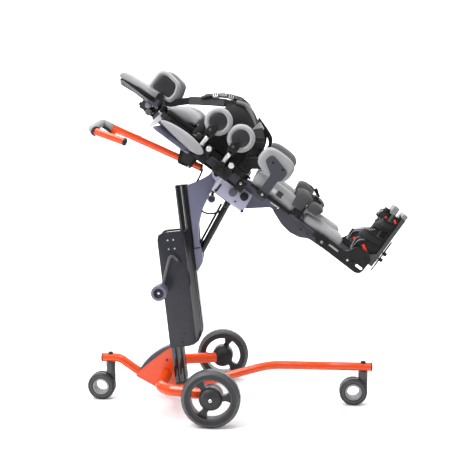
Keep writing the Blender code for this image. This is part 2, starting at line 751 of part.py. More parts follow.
def build_lift(lift):
    x = MAST_DEPTH / 2
    face = MAST_PITCH + x + GAP
    mast = plate(mast_outline(MAST_PITCH), FRONT_MAST_BOTTOM, FRONT_MAST_TOP, "Z", 2)
    nut = box(
        (DRIVE_X - 0.0125, -0.013, FRONT_MAST_BOTTOM + 0.005),
        (MAST_PITCH - x + BITE, 0.013, FRONT_MAST_BOTTOM + 0.035),
    )
    bore = rod(
        (DRIVE_X, 0.0, FRONT_MAST_BOTTOM - 0.01), (DRIVE_X, 0.0, FRONT_MAST_BOTTOM + 0.05),
        SCREW_RADIUS + RUN,
    )
    part("front_mast", join(mast, cut(nut, bore)), lift, BLACK)

    pivot_x, pivot_z = in_mast(PIVOT_X, PIVOT_Z)
    foot_x, foot_z = in_mast(STRUT_FOOT_X, STRUT_FOOT_Z)
    top = FRONT_MAST_TOP
    eye = HORN_EYE_RADIUS
    outline = [
        (face, top - 0.001, 0.004), (pivot_x - 0.077, top + 0.008, 0.0),
        (pivot_x - 0.032, pivot_z - 0.004, 0.020), (pivot_x - eye * 0.75, pivot_z + eye, 0.010),
        (pivot_x + eye, pivot_z + eye * 0.75, 0.010), (pivot_x + eye * 0.8, pivot_z - eye, 0.010),
        (pivot_x - 0.038, top - 0.043, 0.030), (pivot_x - 0.068, top - 0.091, 0.060),
        (pivot_x - 0.0886, top - 0.144, 0.080), (foot_x + 0.008, foot_z + 0.046, 0.010),
        (foot_x + 0.0125, foot_z + 0.022, 0.012), (foot_x + 0.0145, foot_z - 0.006, 0.016),
        (foot_x + 0.005, foot_z - 0.036, 0.020), (face, foot_z - 0.062, 0.003),
    ]
    horn = plate(outline, *side_span(NEAR, HORN_INNER, HORN_OUTER), steps=2)
    other = plate(outline, *side_span(FAR, HORN_INNER, HORN_OUTER), steps=2)
    web = box(
        (face, -HORN_INNER - BITE, foot_z - 0.054),
        (foot_x - STRUT_EYE_RADIUS - 0.0007, HORN_INNER + BITE, top - 0.004),
    )
    tilt_pin = cross_rod(pivot_x, pivot_z, -CHEEK_OUTER, CHEEK_OUTER, PIN_RADIUS, 16)
    strut_pin = cross_rod(foot_x, foot_z, -HORN_INNER - BITE, HORN_INNER + BITE, STRUT_PIN_RADIUS, 12)
    part("horn_bracket", join(horn, web, other, tilt_pin, strut_pin), lift, SLATE)


def build_strut(root):
    """The gas strut: its frame's Z axis runs from the lower pin to the upper one."""
    rise = Vector((STRUT_HEAD_X - STRUT_FOOT_X, 0.0, STRUT_HEAD_Z - STRUT_FOOT_Z))
    foot = frame("strut_axis", root, (STRUT_FOOT_X, 0.0, STRUT_FOOT_Z), math.atan2(rise.x, rise.z))
    length = rise.length
    body_half = HORN_INNER * 0.5
    cylinder = rod((0.0, 0.0, STRUT_EYE_RADIUS), (0.0, 0.0, STRUT_CYLINDER_LENGTH), STRUT_RADIUS, 14)
    eye = cross_rod(0.0, 0.0, -body_half, body_half, STRUT_EYE_RADIUS, 12)
    neck = rod((0.0, 0.0, 0.0), (0.0, 0.0, STRUT_EYE_RADIUS + BITE), body_half * 0.7)
    cylinder = join(cylinder, eye, neck)
    bore = rod((0.0, 0.0, 0.030), (0.0, 0.0, length), STRUT_ROD_RADIUS + RUN)
    pin_bore = cross_rod(0.0, 0.0, -HORN_OUTER, HORN_OUTER, STRUT_PIN_RADIUS + RUN, 12)
    part("strut_cylinder", cut(cylinder, bore, pin_bore), foot, BLACK)

    stem = rod((0.0, 0.0, 0.095), (0.0, 0.0, length), STRUT_ROD_RADIUS)
    head = cross_rod(0.0, length, -body_half, body_half, STRUT_EYE_RADIUS, 12)
    reach = CHEEK_INNER - 0.004
    pin = cross_rod(0.0, length, -reach, reach, STRUT_PIN_RADIUS, 12)
    part("strut_rod", join(stem, head, pin), foot, STEEL)


def build_tilt_frame(tilt):
    eye = PIN_RADIUS + 0.009
    top = SPINE_BOTTOM - GAP
    outline = [
        (-eye, top, 0.003), (-eye, -eye * 0.5, 0.008), (-eye * 0.3, -eye, 0.008),
        (eye * 0.8, -eye * 1.3, 0.004), (HEAD_BOX_START, -HEAD_BOX_DEPTH, 0.004),
        (HEAD_BOX_END, -HEAD_BOX_DEPTH + 0.003, 0.006), (HEAD_BOX_END - 0.008, top, 0.004),
    ]
    near = plate(outline, *side_span(NEAR, CHEEK_INNER, CHEEK_OUTER), steps=2)
    far = plate(outline, *side_span(FAR, CHEEK_INNER, CHEEK_OUTER), steps=2)
    roof = box(
        (HEAD_BOX_START + 0.031, -CHEEK_INNER - BITE, top - 0.004),
        (HEAD_BOX_END - 0.054, CHEEK_INNER + BITE, top),
    )
    head = join(near, roof, far)
    bore = cross_rod(0.0, 0.0, -2 * CHEEK_OUTER, 2 * CHEEK_OUTER, PIN_RADIUS + RUN, 16)
    part("tilt_head", cut(head, bore), tilt, LILAC)

    width = SPINE_HALF_WIDTH
    spine = box((SPINE_START, -width, SPINE_BOTTOM), (SPINE_END, width, SPINE_TOP))
    hip = box(
        (LEG_HINGE_U - 0.016, -HIP_PLATE_HALF_WIDTH, SPINE_TOP - HIP_PLATE_THICKNESS),
        (LEG_HINGE_U + 0.060, HIP_PLATE_HALF_WIDTH, SPINE_TOP),
    )
    keel_outline = [
        (HEAD_BOX_END - 0.050, SPINE_BOTTOM + 0.004, 0.0), (HEAD_BOX_END - 0.012, -0.040, 0.004),
        (HEAD_BOX_END + 0.004, -0.036, 0.004), (SPINE_END - 0.006, 0.024, 0.008),
        (SPINE_END + 0.006, SPINE_TOP - 0.004, 0.004), (HEAD_BOX_END - 0.050, SPINE_TOP - 0.004, 0.0),
    ]
    spine = join(spine, hip)
    for side in (NEAR, FAR):
        span = side_span(side, width - BITE, width + 0.007)
        spine = join(spine, plate(keel_outline, *span, steps=3))
    depth = 0.120
    head_bore = rod(
        (SPINE_START - 0.01, 0.0, HEAD_ROD_N), (SPINE_START + depth, 0.0, HEAD_ROD_N),
        HEAD_ROD_RADIUS + RUN,
    )
    spine = cut(spine, head_bore)
    for side in (NEAR, FAR):
        hinge = rod(
            (LEG_HINGE_U, side * LEG_HINGE_Y, 0.0), (LEG_HINGE_U, side * LEG_HINGE_Y, 2 * SPINE_TOP),
            LEG_HINGE_RADIUS + RUN,
        )
        spine = cut(spine, hinge)
    part("spine", spine, tilt, SLATE)


def build_handle(tilt):
    start = Vector((HANDLE_START_U, 0.0, HANDLE_START_N))
    end = Vector((HANDLE_END_U, 0.0, HANDLE_END_N))
    handle = tube([(start, 0.0), (end, 0.0)], HANDLE_RADIUS, 12)
    grips = tube(
        [
            ((GRIP_FRONT_U, -GRIP_SPREAD, GRIP_FRONT_N), 0.0),
            ((GRIP_BACK_U, -GRIP_SPREAD, GRIP_BACK_N), 0.034),
            ((HANDLE_START_U, 0.0, HANDLE_START_N), 0.200),
            ((GRIP_BACK_U, GRIP_SPREAD, GRIP_BACK_N), 0.034),
            ((GRIP_FRONT_U, GRIP_SPREAD, GRIP_FRONT_N), 0.0),
        ],
        HANDLE_RADIUS,
        12,
        3,
    )
    along = (end - start).normalized()
    lever_u = HANDLE_START_U + LEVER_SETBACK
    tube_n = HANDLE_START_N + LEVER_SETBACK * along.z / along.x
    lever_n = tube_n - HANDLE_RADIUS - LEVER_DROP
    lugs = [
        plate(
            [
                (lever_u - 0.008, lever_n - 0.008, 0.0075), (lever_u + 0.008, lever_n - 0.008, 0.0075),
                (lever_u + 0.010, tube_n, 0.0), (lever_u - 0.010, tube_n, 0.0),
            ],
            *side_span(side, LEVER_HALF_WIDTH + RUN, LEVER_HALF_WIDTH + 0.004),
        )
        for side in (NEAR, FAR)
    ]
    lug_end = LEVER_HALF_WIDTH + 0.004
    lever_pin = cross_rod(lever_u, lever_n, -lug_end, lug_end, KNUCKLE_PIN_RADIUS, 10)
    part("push_handle", join(handle, grips, *lugs, lever_pin), tilt, ORANGE)

    # The clamp grips the centre tube and carries the plate of the arm pads.
    top = SPINE_BOTTOM - GAP

    def under(u):
        return HANDLE_START_N + (u - HANDLE_START_U) * along.z / along.x - HANDLE_RADIUS - 0.005

    clamp = plate(
        [
            (CLAMP_START, top - BITE, 0.0), (CLAMP_START, under(CLAMP_START), 0.004),
            (CLAMP_END, under(CLAMP_END), 0.004), (CLAMP_END, top - BITE, 0.0),
        ],
        -0.022,
        0.022,
    )
    shelf_end = RAIL_START - 0.004
    outer = ARM_PAD_Y + ARM_PAD_WIDTH / 2
    shelf = plate(
        [
            (SHELF_START, -outer, 0.020), (shelf_end, -outer, 0.020),
            (shelf_end, outer, 0.020), (SHELF_START, outer, 0.020),
        ],
        top - 0.006,
        top,
        "Z",
    )
    clamp = join(clamp, shelf)
    seat = ARM_PAD_N - ARM_PAD_HEIGHT / 2 + 0.0017
    for side in (NEAR, FAR):
        riser = side_box(
            side, (ARM_PAD_U - 0.030, ARM_PAD_U + 0.030), (outer - 0.028, outer - 0.006),
            (top - BITE, seat - GAP),
        )
        clamp = join(clamp, riser)
    hole = rod(start - along * 0.1, end + along * 0.1, HANDLE_RADIUS + GAP * 2, 24)
    part("handle_bracket", cut(clamp, hole), tilt, BLACK)

    lever_axis = frame("lever_axis", tilt, (lever_u, 0.0, lever_n))
    width = LEVER_HALF_WIDTH
    boss = cross_rod(0.0, 0.0, -width, width, 0.0075)
    paddle = plate(
        [
            (0.003, -width, 0.0), (0.003, width, 0.0), (-0.018, width, 0.006), (-0.034, 0.042, 0.010),
            (-0.054, 0.042, 0.010), (-0.054, -0.042, 0.010), (-0.034, -0.042, 0.010), (-0.018, -width, 0.006),
        ],
        -0.0070,
        -0.0020,
        "Z",
    )
    bore = cross_rod(0.0, 0.0, -0.02, 0.02, KNUCKLE_PIN_RADIUS + RUN, 10)
    part("release_lever", cut(join(boss, paddle), bore), lever_axis, BLACK)


def build_trunk(tilt):
    shell_bottom = SPINE_TOP + GAP
    shell_top = shell_bottom + SHELL_THICKNESS
    half = SHELL_HALF_WIDTH
    corners = [
        (SHELL_START, -half, 0.040), (SHELL_END, -half, 0.030), (SHELL_END, half, 0.030),
        (SHELL_START, half, 0.040),
    ]
    part("back_shell", plate(corners, shell_bottom, shell_top, "Z"), tilt, BLACK)

    seat = shell_top + GAP
    split = TRUNK_PADS_U[0] - TRUNK_PAD_RADIUS - 0.002
    width = CUSHION_HALF_WIDTH
    shoulder = pad((SHELL_START + 0.024, -width, seat), (split, width, 0.143), 0.024, 0.06)
    back = pad((split - 0.010, -width, seat), (SHELL_END - 0.008, width, 0.116), 0.016, 0.04)
    part("back_cushion", join(back, shoulder), tilt, GREY_FABRIC)

    for word, side in SIDES:
        low = SPINE_BOTTOM - 0.0085
        inner = RAIL_Y - RAIL_SIZE / 2
        outer = RAIL_Y + RAIL_SIZE / 2
        rail = side_box(side, (RAIL_START, RAIL_END), (inner, outer), (low, low + RAIL_SIZE))
        for place in TRUNK_PADS_U:
            standoff = side_box(
                side, (place + 0.030, place + 0.050), (inner + 0.001, outer - 0.001),
                (low + RAIL_SIZE - BITE, SPINE_TOP),
            )
            block = side_box(
                side, (place - 0.014, place + 0.042), (outer - BITE, POST_Y + 0.014), (low + 0.002, SPINE_TOP),
            )
            lug = side_box(
                side, (place + 0.017, place + 0.041), (SHELL_HALF_WIDTH + 0.002, POST_Y + 0.013),
                (SPINE_TOP - BITE, 0.076),
            )
            knob = cross_rod(
                place + 0.029, 0.066, side * (POST_Y + 0.010), side * (POST_Y + 0.026), 0.0085, 10,
            )
            post = rod(
                (place, side * POST_Y, SPINE_TOP - BITE), (place, side * POST_Y, KNUCKLE_N + 0.004), POST_RADIUS,
            )
            tongue = side_box(
                side, (place - 0.006, place + 0.006), (POST_Y - POST_RADIUS, KNUCKLE_Y + 0.006),
                (KNUCKLE_N - 0.0065, KNUCKLE_N + 0.0065),
            )
            pin = rod(
                (place - 0.0115, side * KNUCKLE_Y, KNUCKLE_N), (place + 0.0115, side * KNUCKLE_Y, KNUCKLE_N),
                KNUCKLE_PIN_RADIUS, 10,
            )
            rail = join(rail, standoff, block, lug, knob, post, tongue, pin)
        part(f"trunk_rail_{word}", rail, tilt, BLACK)
        for level, place in zip(("upper", "lower"), TRUNK_PADS_U):
            build_trunk_pad(f"trunk_pad_{word}_{level}", tilt, side, place)

    build_harness(tilt, seat)


def knuckle_ears(side, inner, outer, low, high):
    """A pair of ears that straddle a tongue, cut for the pin between them."""
    ears = [
        side_box(side, span, (inner, outer), (low, high))
        for span in ((-0.0120, -0.0064), (0.0064, 0.0120))
    ]
    bores = [
        rod((-0.02, 0.0, 0.0), (0.02, 0.0, 0.0), KNUCKLE_PIN_RADIUS + RUN, 10)
        for _ in ears
    ]
    return [cut(ear, bore) for ear, bore in zip(ears, bores)]


def build_trunk_pad(name, tilt, side, place):
    """A round pad: ring-edged cushion, moulded shell and the ears of its knuckle."""
    hinge = frame(name + "_hinge", tilt, (place, side * KNUCKLE_Y, KNUCKLE_N))
    radius = TRUNK_PAD_RADIUS
    rise = TRUNK_PAD_N - KNUCKLE_N
    centre = (0.0, side * (TRUNK_PAD_Y - KNUCKLE_Y), rise)
    profile = [
        (0.0, -0.0135), (radius * 0.72, -0.0115), (radius, 0.001), (radius * 0.93, 0.0145),
        (radius * 0.74, 0.0155), (radius * 0.66, 0.007), (0.0, 0.007),
    ]
    cover = turned(profile, 18, centre, side)
    shell = cross_rod(
        0.0, rise, centre[1] + side * 0.005, centre[1] + side * 0.012, radius * 0.60, 14,
    )
    drop = KNUCKLE_Y - TRUNK_PAD_Y
    ears = knuckle_ears(side, -drop + 0.009, 0.007, -0.008, 0.040)
    part(name, join(cover, shell, *ears), hinge, GREY_FABRIC)


def build_harness(tilt, seat):
    """A padded vest panel that arches over the chest and stands on the back shell."""
    bm = bmesh.new()
    bmesh.ops.create_grid(bm, x_segments=6, y_segments=10, size=1.0)
    middle = (HARNESS_START + HARNESS_END) / 2
    half = (HARNESS_END - HARNESS_START) / 2
    top = HARNESS_TOP_N - HARNESS_THICKNESS
    low = seat - HARNESS_THICKNESS
    for vert in bm.verts:
        along, across = vert.co.x, vert.co.y
        turn = across * math.pi / 2
        sink = 0.045 * (along - 0.1) ** 2
        narrow = 1 - 0.30 * abs(across) ** 1.5
        flat = math.copysign(abs(math.sin(turn)) ** 0.8, turn)
        arch = abs(math.cos(turn)) ** 0.75
        vert.co = Vector((
            middle + along * half * narrow,
            flat * (HARNESS_HALF_WIDTH - HARNESS_THICKNESS),
            low + (top - low - sink) * arch,
        ))
    bmesh.ops.recalc_face_normals(bm, faces=bm.faces)
    if sum(face.normal.z for face in bm.faces) < 0:
        bmesh.ops.reverse_faces(bm, faces=bm.faces)
    mesh = bpy.data.meshes.new("vest")
    bm.to_mesh(mesh)
    bm.free()
    piece = bpy.data.objects.new("vest", mesh)
    PARTS.objects.link(piece)
    thick = piece.modifiers.new("thickness", "SOLIDIFY")
    thick.thickness = HARNESS_THICKNESS
    thick.offset = 1.0
    piece = baked(piece)
    floor = box((-1.0, -1.0, -1.0), (1.0, 1.0, seat))
    part("chest_harness", cut(piece, floor), tilt, CHARCOAL_FABRIC)


def build_arm_pads(tilt):
    for word, side in SIDES:
        half = Vector((ARM_PAD_LENGTH / 2, ARM_PAD_WIDTH / 2, ARM_PAD_HEIGHT / 2))
        centre = Vector((ARM_PAD_U, side * ARM_PAD_Y, ARM_PAD_N))

        def shape(x, y, z, half=half, centre=centre):
            swell = 0.16 + 0.90 * (1 - x * x) ** 0.7
            return centre + Vector((x * half.x, y * half.y * (0.7 + 0.3 * (1 - z * z)), z * half.z * swell))

        arm = cushion(shape, (-0.68, 0.0, 0.68), (), (0.0,))
        part(f"arm_pad_{word}", arm, tilt, GREY_FABRIC)


def build_head(tilt):
    slide = frame("head_slide", tilt, (HEAD_U, 0.0, HEAD_N), -HEAD_TIP)
    back = -HEAD_PLATE_LENGTH * 0.39
    front = HEAD_PLATE_LENGTH * 0.61
    width = HEAD_PAD_HALF_WIDTH - 0.004
    plate_low = -0.006
    plate_top = 0.002
    bracket = plate(
        [(back, -width, 0.025), (front, -width, 0.015), (front, width, 0.015), (back, width, 0.025)],
        plate_low,
        plate_top,
        "Z",
    )
    # The rod runs level with the spine, so it is tipped back in this frame.
    level = Matrix.Rotation(HEAD_TIP, 4, "Y")
    rod_drop = HEAD_ROD_N - HEAD_N
    bar = rod((0.030, 0.0, rod_drop), (SPINE_START - HEAD_U + 0.055, 0.0, rod_drop), HEAD_ROD_RADIUS)
    bar.data.transform(level)
    stand = box((0.034, -0.014, rod_drop - 0.016), (0.072, 0.014, plate_low + BITE))
    knuckle_y = SIDE_PAD_Y + SIDE_PAD_THICKNESS / 2 + 0.0035
    tools = [bar, stand]
    for side in (NEAR, FAR):
        tools.append(side_box(
            side, (SIDE_PAD_X - 0.024, SIDE_PAD_X + 0.005), (width - 0.020, knuckle_y + 0.004),
            (plate_low + 0.0008, plate_top - 0.0008),
        ))
        tools.append(side_box(
            side, (SIDE_PAD_X - 0.006, SIDE_PAD_X + 0.006), (knuckle_y - 0.005, knuckle_y + 0.005),
            (plate_low, SIDE_KNUCKLE_Z + 0.006),
        ))
        tools.append(rod(
            (SIDE_PAD_X - 0.0115, side * knuckle_y, SIDE_KNUCKLE_Z),
            (SIDE_PAD_X + 0.0115, side * knuckle_y, SIDE_KNUCKLE_Z),
            KNUCKLE_PIN_RADIUS, 10,
        ))
    part("head_bracket", join(bracket, *tools), slide, BLACK)

    seat = plate_top + GAP
    length = HEAD_PAD_LENGTH
    head = pad(
        (front + 0.010 - length, -HEAD_PAD_HALF_WIDTH, seat), (front + 0.010, HEAD_PAD_HALF_WIDTH, HEAD_PAD_HEIGHT),
        0.012,
        0.05,
    )
    part("head_pad", head, slide, GREY_FABRIC)

    for word, side in SIDES:
        hinge = frame(
            f"head_side_{word}_hinge", slide, (SIDE_PAD_X, side * knuckle_y, SIDE_KNUCKLE_Z),
        )
        half = Vector((SIDE_PAD_LENGTH / 2, SIDE_PAD_THICKNESS / 2, SIDE_PAD_HEIGHT / 2))
        centre = Vector((0.0, side * (SIDE_PAD_Y - knuckle_y), SIDE_PAD_Z - SIDE_KNUCKLE_Z))

        def shape(x, y, z, half=half, centre=centre, side=side):
            crown = 1.0 if y * side > 0 else 0.55 + 0.45 * (1 - x * x) * (1 - z * z)
            corner = 0.22 * half.x * max(0.0, x) * max(0.0, z)
            return centre + Vector((x * half.x - corner, y * half.y * crown, z * half.z))

        cover = cushion(shape, (-0.50, 0.50), (), (-0.50, 0.50))
        shell = side_box(
            side, (-half.x * 0.55, half.x * 0.55),
            (side * centre.y + half.y - 0.006, side * centre.y + half.y + 0.0015),
            (centre.z - half.z * 0.62, centre.z + half.z * 0.62),
        )
        ears = knuckle_ears(side, -0.0075, 0.005, -0.007, centre.z - half.z * 0.4)
        part(f"head_side_pad_{word}", join(cover, shell, *ears), hinge, GREY_FABRIC)


def build_hips(tilt):
    for word, side in SIDES:
        slide = frame(f"hip_slide_{word}", tilt, (0.0, 0.0, 0.0))
        plate_in = HIP_PAD_Y + HIP_PAD_THICKNESS / 2 + GAP
        plate_out = plate_in + 0.005
        tongue_top = SPINE_TOP - HIP_PLATE_THICKNESS - GAP
        tongue_low = tongue_top - 0.008
        arm_half = HIP_ARM_WIDTH / 2
        head_low = HIP_N - HIP_PAD_HEIGHT * 0.36
        head_top = HIP_N + HIP_PAD_HEIGHT * 0.10
        outline = [
            (HIP_ARM_U - arm_half, tongue_low, 0.003), (HIP_ARM_U + arm_half, tongue_low, 0.003),
            (HIP_ARM_U + arm_half, head_low - 0.012, 0.008), (HIP_U + 0.046, head_low, 0.012),
            (HIP_U + 0.046, head_top - 0.008, 0.014), (HIP_U - 0.034, head_top + 0.010, 0.014),
            (HIP_U - 0.040, head_top - 0.022, 0.012), (HIP_ARM_U - arm_half, head_low - 0.006, 0.010),
        ]
        bracket = plate(outline, *side_span(side, plate_in, plate_out))
        tongue = side_box(
            side, (HIP_ARM_U - arm_half, HIP_ARM_U + arm_half), (SPINE_HALF_WIDTH + 0.009, plate_out - BITE),
            (tongue_low, tongue_top),
        )
        part(f"hip_bracket_{word}", join(bracket, tongue), slide, BLACK)
        half = Vector((HIP_PAD_LENGTH / 2, HIP_PAD_THICKNESS / 2, HIP_PAD_HEIGHT / 2))
        centre = Vector((HIP_U, side * HIP_PAD_Y, HIP_N))

        def shape(x, y, z, half=half, centre=centre, side=side):
            crown = 1.0 if y * side > 0 else 0.55 + 0.45 * (1 - x * x) * (1 - z * z)
            return centre + Vector((x * half.x, y * half.y * crown, z * half.z))

        cover = cushion(shape, (-0.45, 0.45), (), (-0.45, 0.45))
        part(f"hip_pad_{word}", cover, slide, GREY_FABRIC)


def build_leg(word, side, tilt):
    hinge = frame(f"leg_hinge_{word}", tilt, (LEG_HINGE_U, side * LEG_HINGE_Y, 0.0))
    leg = frame(f"leg_{word}", hinge, (-LEG_HINGE_U, -side * LEG_HINGE_Y, 0.0))
    low = SPINE_TOP + RUN
    top = low + LEG_PLATE_THICKNESS
    inner = LEG_PLATE_INNER
    outer = LEG_PLATE_OUTER
    base = plate(
        [
            (LEG_HINGE_U - 0.014, side * (LEG_HINGE_Y - 0.014), 0.006), (THIGH_END, side * inner, 0.0),
            (LEG_PLATE_END, side * inner, 0.020), (LEG_PLATE_END, side * outer, 0.010),
            (LEG_HINGE_U - 0.014, side * outer, 0.020),
        ],
        low,
        top,
        "Z",
    )
    pin = rod(
        (LEG_HINGE_U, side * LEG_HINGE_Y, SPINE_TOP - HIP_PLATE_THICKNESS),
        (LEG_HINGE_U, side * LEG_HINGE_Y, low + BITE),
        LEG_HINGE_RADIUS,
    )
    tab = side_box(
        side, (KNEE_U - 0.022, KNEE_U + 0.022), (LEG_PAD_INNER - 0.022, LEG_PAD_OUTER + 0.022), (low, top),
    )
    beam_outline = [
        (BEAM_START, low + BITE, 0.004), (BEAM_START, 0.026, 0.006), (KNEE_U - 0.022, 0.005, 0.060),
        (KNEE_U + 0.017, 0.000, 0.050), (KNEE_U + 0.055, 0.007, 0.040), (KNEE_U + 0.078, 0.022, 0.040),
        (BEAM_END, 0.024, 0.004), (BEAM_END, low + BITE, 0.004),
    ]
    beam = plate(beam_outline, *side_span(side, BEAM_INNER, BEAM_OUTER))
    bracket_in = FOOT_BRACKET_Y - FOOT_BRACKET_THICKNESS / 2
    bar_out = bracket_in - RUN
    bar = side_box(
        side, (FOOT_BRACKET_START, SLOT_BOLTS_U[1] + 0.016), (bar_out - 0.009, bar_out), (0.030, top - 0.002),
    )
    link = side_box(
        side, (FOOT_BRACKET_START, BEAM_END), (BEAM_OUTER - BITE, bar_out - BITE), (0.030, low + BITE),
    )
    bolts = [
        cross_rod(
            place, SLOT_N, side * (bar_out - BITE), side * (FOOT_BRACKET_Y + 0.0075),
            SLOT_RADIUS - RUN - 0.0002, 12,
        )
        for place in SLOT_BOLTS_U
    ]
    beam = join(base, pin, tab, beam, link, bar, *bolts)
    part(f"leg_beam_{word}", beam, leg, SLATE)

    seat = top + GAP
    y_low, y_high = side_span(side, LEG_PAD_INNER, LEG_PAD_OUTER)
    thigh = pad((THIGH_START, y_low, seat), (THIGH_END, y_high, seat + THIGH_HEIGHT), 0.012, 0.04)
    part(f"thigh_pad_{word}", thigh, leg, GREY_FABRIC)
    calf = pad((CALF_START, y_low, seat), (CALF_END, y_high, seat + CALF_HEIGHT), 0.010, 0.04)
    part(f"calf_pad_{word}", calf, leg, GREY_FABRIC)
    build_knee_cup(word, side, leg, seat)
    build_foot(word, side, leg, bar_out)


def build_knee_cup(word, side, leg, seat):
    """A soft cup that arches over the knee and stands on the tabs of the leg plate."""
    bm = bmesh.new()
    bmesh.ops.create_grid(bm, x_segments=6, y_segments=9, size=1.0)
    half_y = (LEG_PAD_OUTER - LEG_PAD_INNER) / 2 + 0.007
    centre_y = side * (LEG_PAD_OUTER + LEG_PAD_INNER) / 2
    crest = KNEE_TOP_N - KNEE_WALL
    low = seat - KNEE_WALL * 0.4
    for vert in bm.verts:
        along, across = vert.co.x, vert.co.y
        turn = across * math.pi / 2
        taper = 1 - 0.72 * abs(across) ** 2.2
        arch = abs(math.cos(turn)) ** 0.38
        dome = 1 - 0.10 * along * along
        vert.co = Vector((
            KNEE_U + along * KNEE_LENGTH / 2 * taper,
            centre_y + math.copysign(abs(math.sin(turn)) ** 0.55, turn) * half_y,
            low + (crest - low) * arch * dome,
        ))
    bmesh.ops.recalc_face_normals(bm, faces=bm.faces)
    if sum(face.normal.z for face in bm.faces) < 0:
        bmesh.ops.reverse_faces(bm, faces=bm.faces)
    mesh = bpy.data.meshes.new("cup")
    bm.to_mesh(mesh)
    bm.free()
    piece = bpy.data.objects.new("cup", mesh)
    PARTS.objects.link(piece)
    thick = piece.modifiers.new("thickness", "SOLIDIFY")
    thick.thickness = KNEE_WALL
    thick.offset = 1.0
    piece = baked(piece)
    floor = box((-1.0, -1.0, -1.0), (1.0, 1.0, seat))
    part(f"knee_cup_{word}", cut(piece, floor), leg, CHARCOAL_FABRIC)


def build_foot(word, side, leg, bar_out):
    slide = frame(f"foot_slide_{word}", leg, (0.0, 0.0, 0.0))
    inner = FOOT_BRACKET_Y - FOOT_BRACKET_THICKNESS / 2
    outer = FOOT_BRACKET_Y + FOOT_BRACKET_THICKNESS / 2
    end = FOOT_BRACKET_END
    outline = [
        (FOOT_BRACKET_START, 0.027, 0.010), (end, 0.025, 0.022), (end, FOOT_HINGE_N + 0.004, 0.010),
        (FOOT_HINGE_U - 0.006, FOOT_HINGE_N + 0.024, 0.012),
        (FOOT_HINGE_U - 0.048, FOOT_HINGE_N + 0.020, 0.014),
        (FOOT_HINGE_U - 0.068, 0.066, 0.016), (FOOT_BRACKET_START, 0.064, 0.010),
    ]
    bracket = plate(outline, *side_span(side, inner, outer))
    for place, length in zip(SLOT_BOLTS_U, SLOT_LENGTHS):
        slot_n = SLOT_N
        radius = SLOT_RADIUS
        first = place - radius
        slot = plate(
            [
                (first, slot_n - radius, radius * 0.98), (first + length, slot_n - radius, radius * 0.98),
                (first + length, slot_n + radius, radius * 0.98), (first, slot_n + radius, radius * 0.98),
            ],
            *side_span(side, inner - 0.01, outer + 0.01),
        )
        bracket = cut(bracket, slot)
    pin = cross_rod(
        FOOT_HINGE_U, FOOT_HINGE_N, side * (inner - 0.0085), side * (inner + BITE), FOOT_HINGE_RADIUS, 12,
    )
    part(f"foot_bracket_{word}", join(bracket, pin), slide, BLACK)

    hinge = frame(f"foot_hinge_{word}", slide, (FOOT_HINGE_U, 0.0, FOOT_HINGE_N), FOOT_REST_TURN)
    shift = Matrix.Translation((-FOOT_HINGE_U, 0.0, -FOOT_HINGE_N))
    y_low, y_high = side_span(side, FOOT_Y - FOOTPLATE_WIDTH / 2, FOOT_Y + FOOTPLATE_WIDTH / 2)
    sole = plate(
        [
            (y_low, FOOTPLATE_BOTTOM, 0.012), (y_high, FOOTPLATE_BOTTOM, 0.012),
            (y_high, FOOTPLATE_TOP, 0.026), (y_low, FOOTPLATE_TOP, 0.026),
        ],
        FOOTPLATE_U,
        FOOTPLATE_U + FOOTPLATE_THICKNESS,
        "X",
    )
    ear_out = inner - RUN
    ear = plate(
        [
            (FOOT_HINGE_U - 0.010, FOOT_HINGE_N - 0.010, 0.008), (FOOTPLATE_U + 0.006, FOOTPLATE_BOTTOM + 0.003, 0.0),
            (FOOTPLATE_U + 0.006, FOOT_HINGE_N + 0.040, 0.0), (FOOT_HINGE_U - 0.010, FOOT_HINGE_N + 0.010, 0.008),
        ],
        *side_span(side, ear_out - 0.006, ear_out),
    )
    bore = cross_rod(
        FOOT_HINGE_U, FOOT_HINGE_N, side * (inner - 0.02), side * (inner + 0.02), FOOT_HINGE_RADIUS + RUN, 12,
    )
    foot = join(sole, cut(ear, bore))
    foot.data.transform(shift)
    part(f"footplate_{word}", foot, hinge, BLACK)

    # The sandal: a sole on the plate and a heel cup that opens towards the toes.
    wall = SANDAL_WALL
    y_in = FOOT_Y - SANDAL_WIDTH / 2
    y_out = FOOT_Y + SANDAL_WIDTH / 2
    face = FOOTPLATE_U - GAP
    bed = plate(
        [
            (side * y_in, SANDAL_HEEL_N, 0.024), (side * y_out, SANDAL_HEEL_N, 0.024),
            (side * y_out, SANDAL_TOE_N, 0.028), (side * y_in, SANDAL_TOE_N, 0.028),
        ],
        face - 0.010,
        face,
        "X",
    )
    cup_top = SANDAL_HEEL_N + 0.094
    cup = plate(
        [
            (side * y_in, SANDAL_HEEL_N, 0.024), (side * y_out, SANDAL_HEEL_N, 0.024),
            (side * y_out, cup_top, 0.0), (side * y_in, cup_top, 0.0),
        ],
        face - SANDAL_HEIGHT,
        face - 0.010 + BITE,
        "X",
    )
    hollow = plate(
        [
            (side * (y_in + wall), SANDAL_HEEL_N + wall, 0.019), (side * (y_out - wall), SANDAL_HEEL_N + wall, 0.019),
            (side * (y_out - wall), cup_top + 0.05, 0.0), (side * (y_in + wall), cup_top + 0.05, 0.0),
        ],
        face - 2 * SANDAL_HEIGHT,
        face - 0.010 + 2 * BITE,
        "X",
    )
    mouth = face - 0.010 + 2 * BITE
    fall = 0.80
    low_edge = mouth - 2 * SANDAL_HEIGHT
    slope = plate(
        [
            (low_edge, cup_top - fall * 2 * SANDAL_HEIGHT, 0.0), (mouth, cup_top, 0.0),
            (mouth, cup_top + 0.1, 0.0), (low_edge, cup_top + 0.1, 0.0),
        ],
        *side_span(side, y_in - 0.02, y_out + 0.02),
    )
    cup = cut(cup, hollow, slope)
    sandal = join(bed, cup)
    sandal.data.transform(shift)
    part(f"sandal_{word}", sandal, hinge, BLACK)


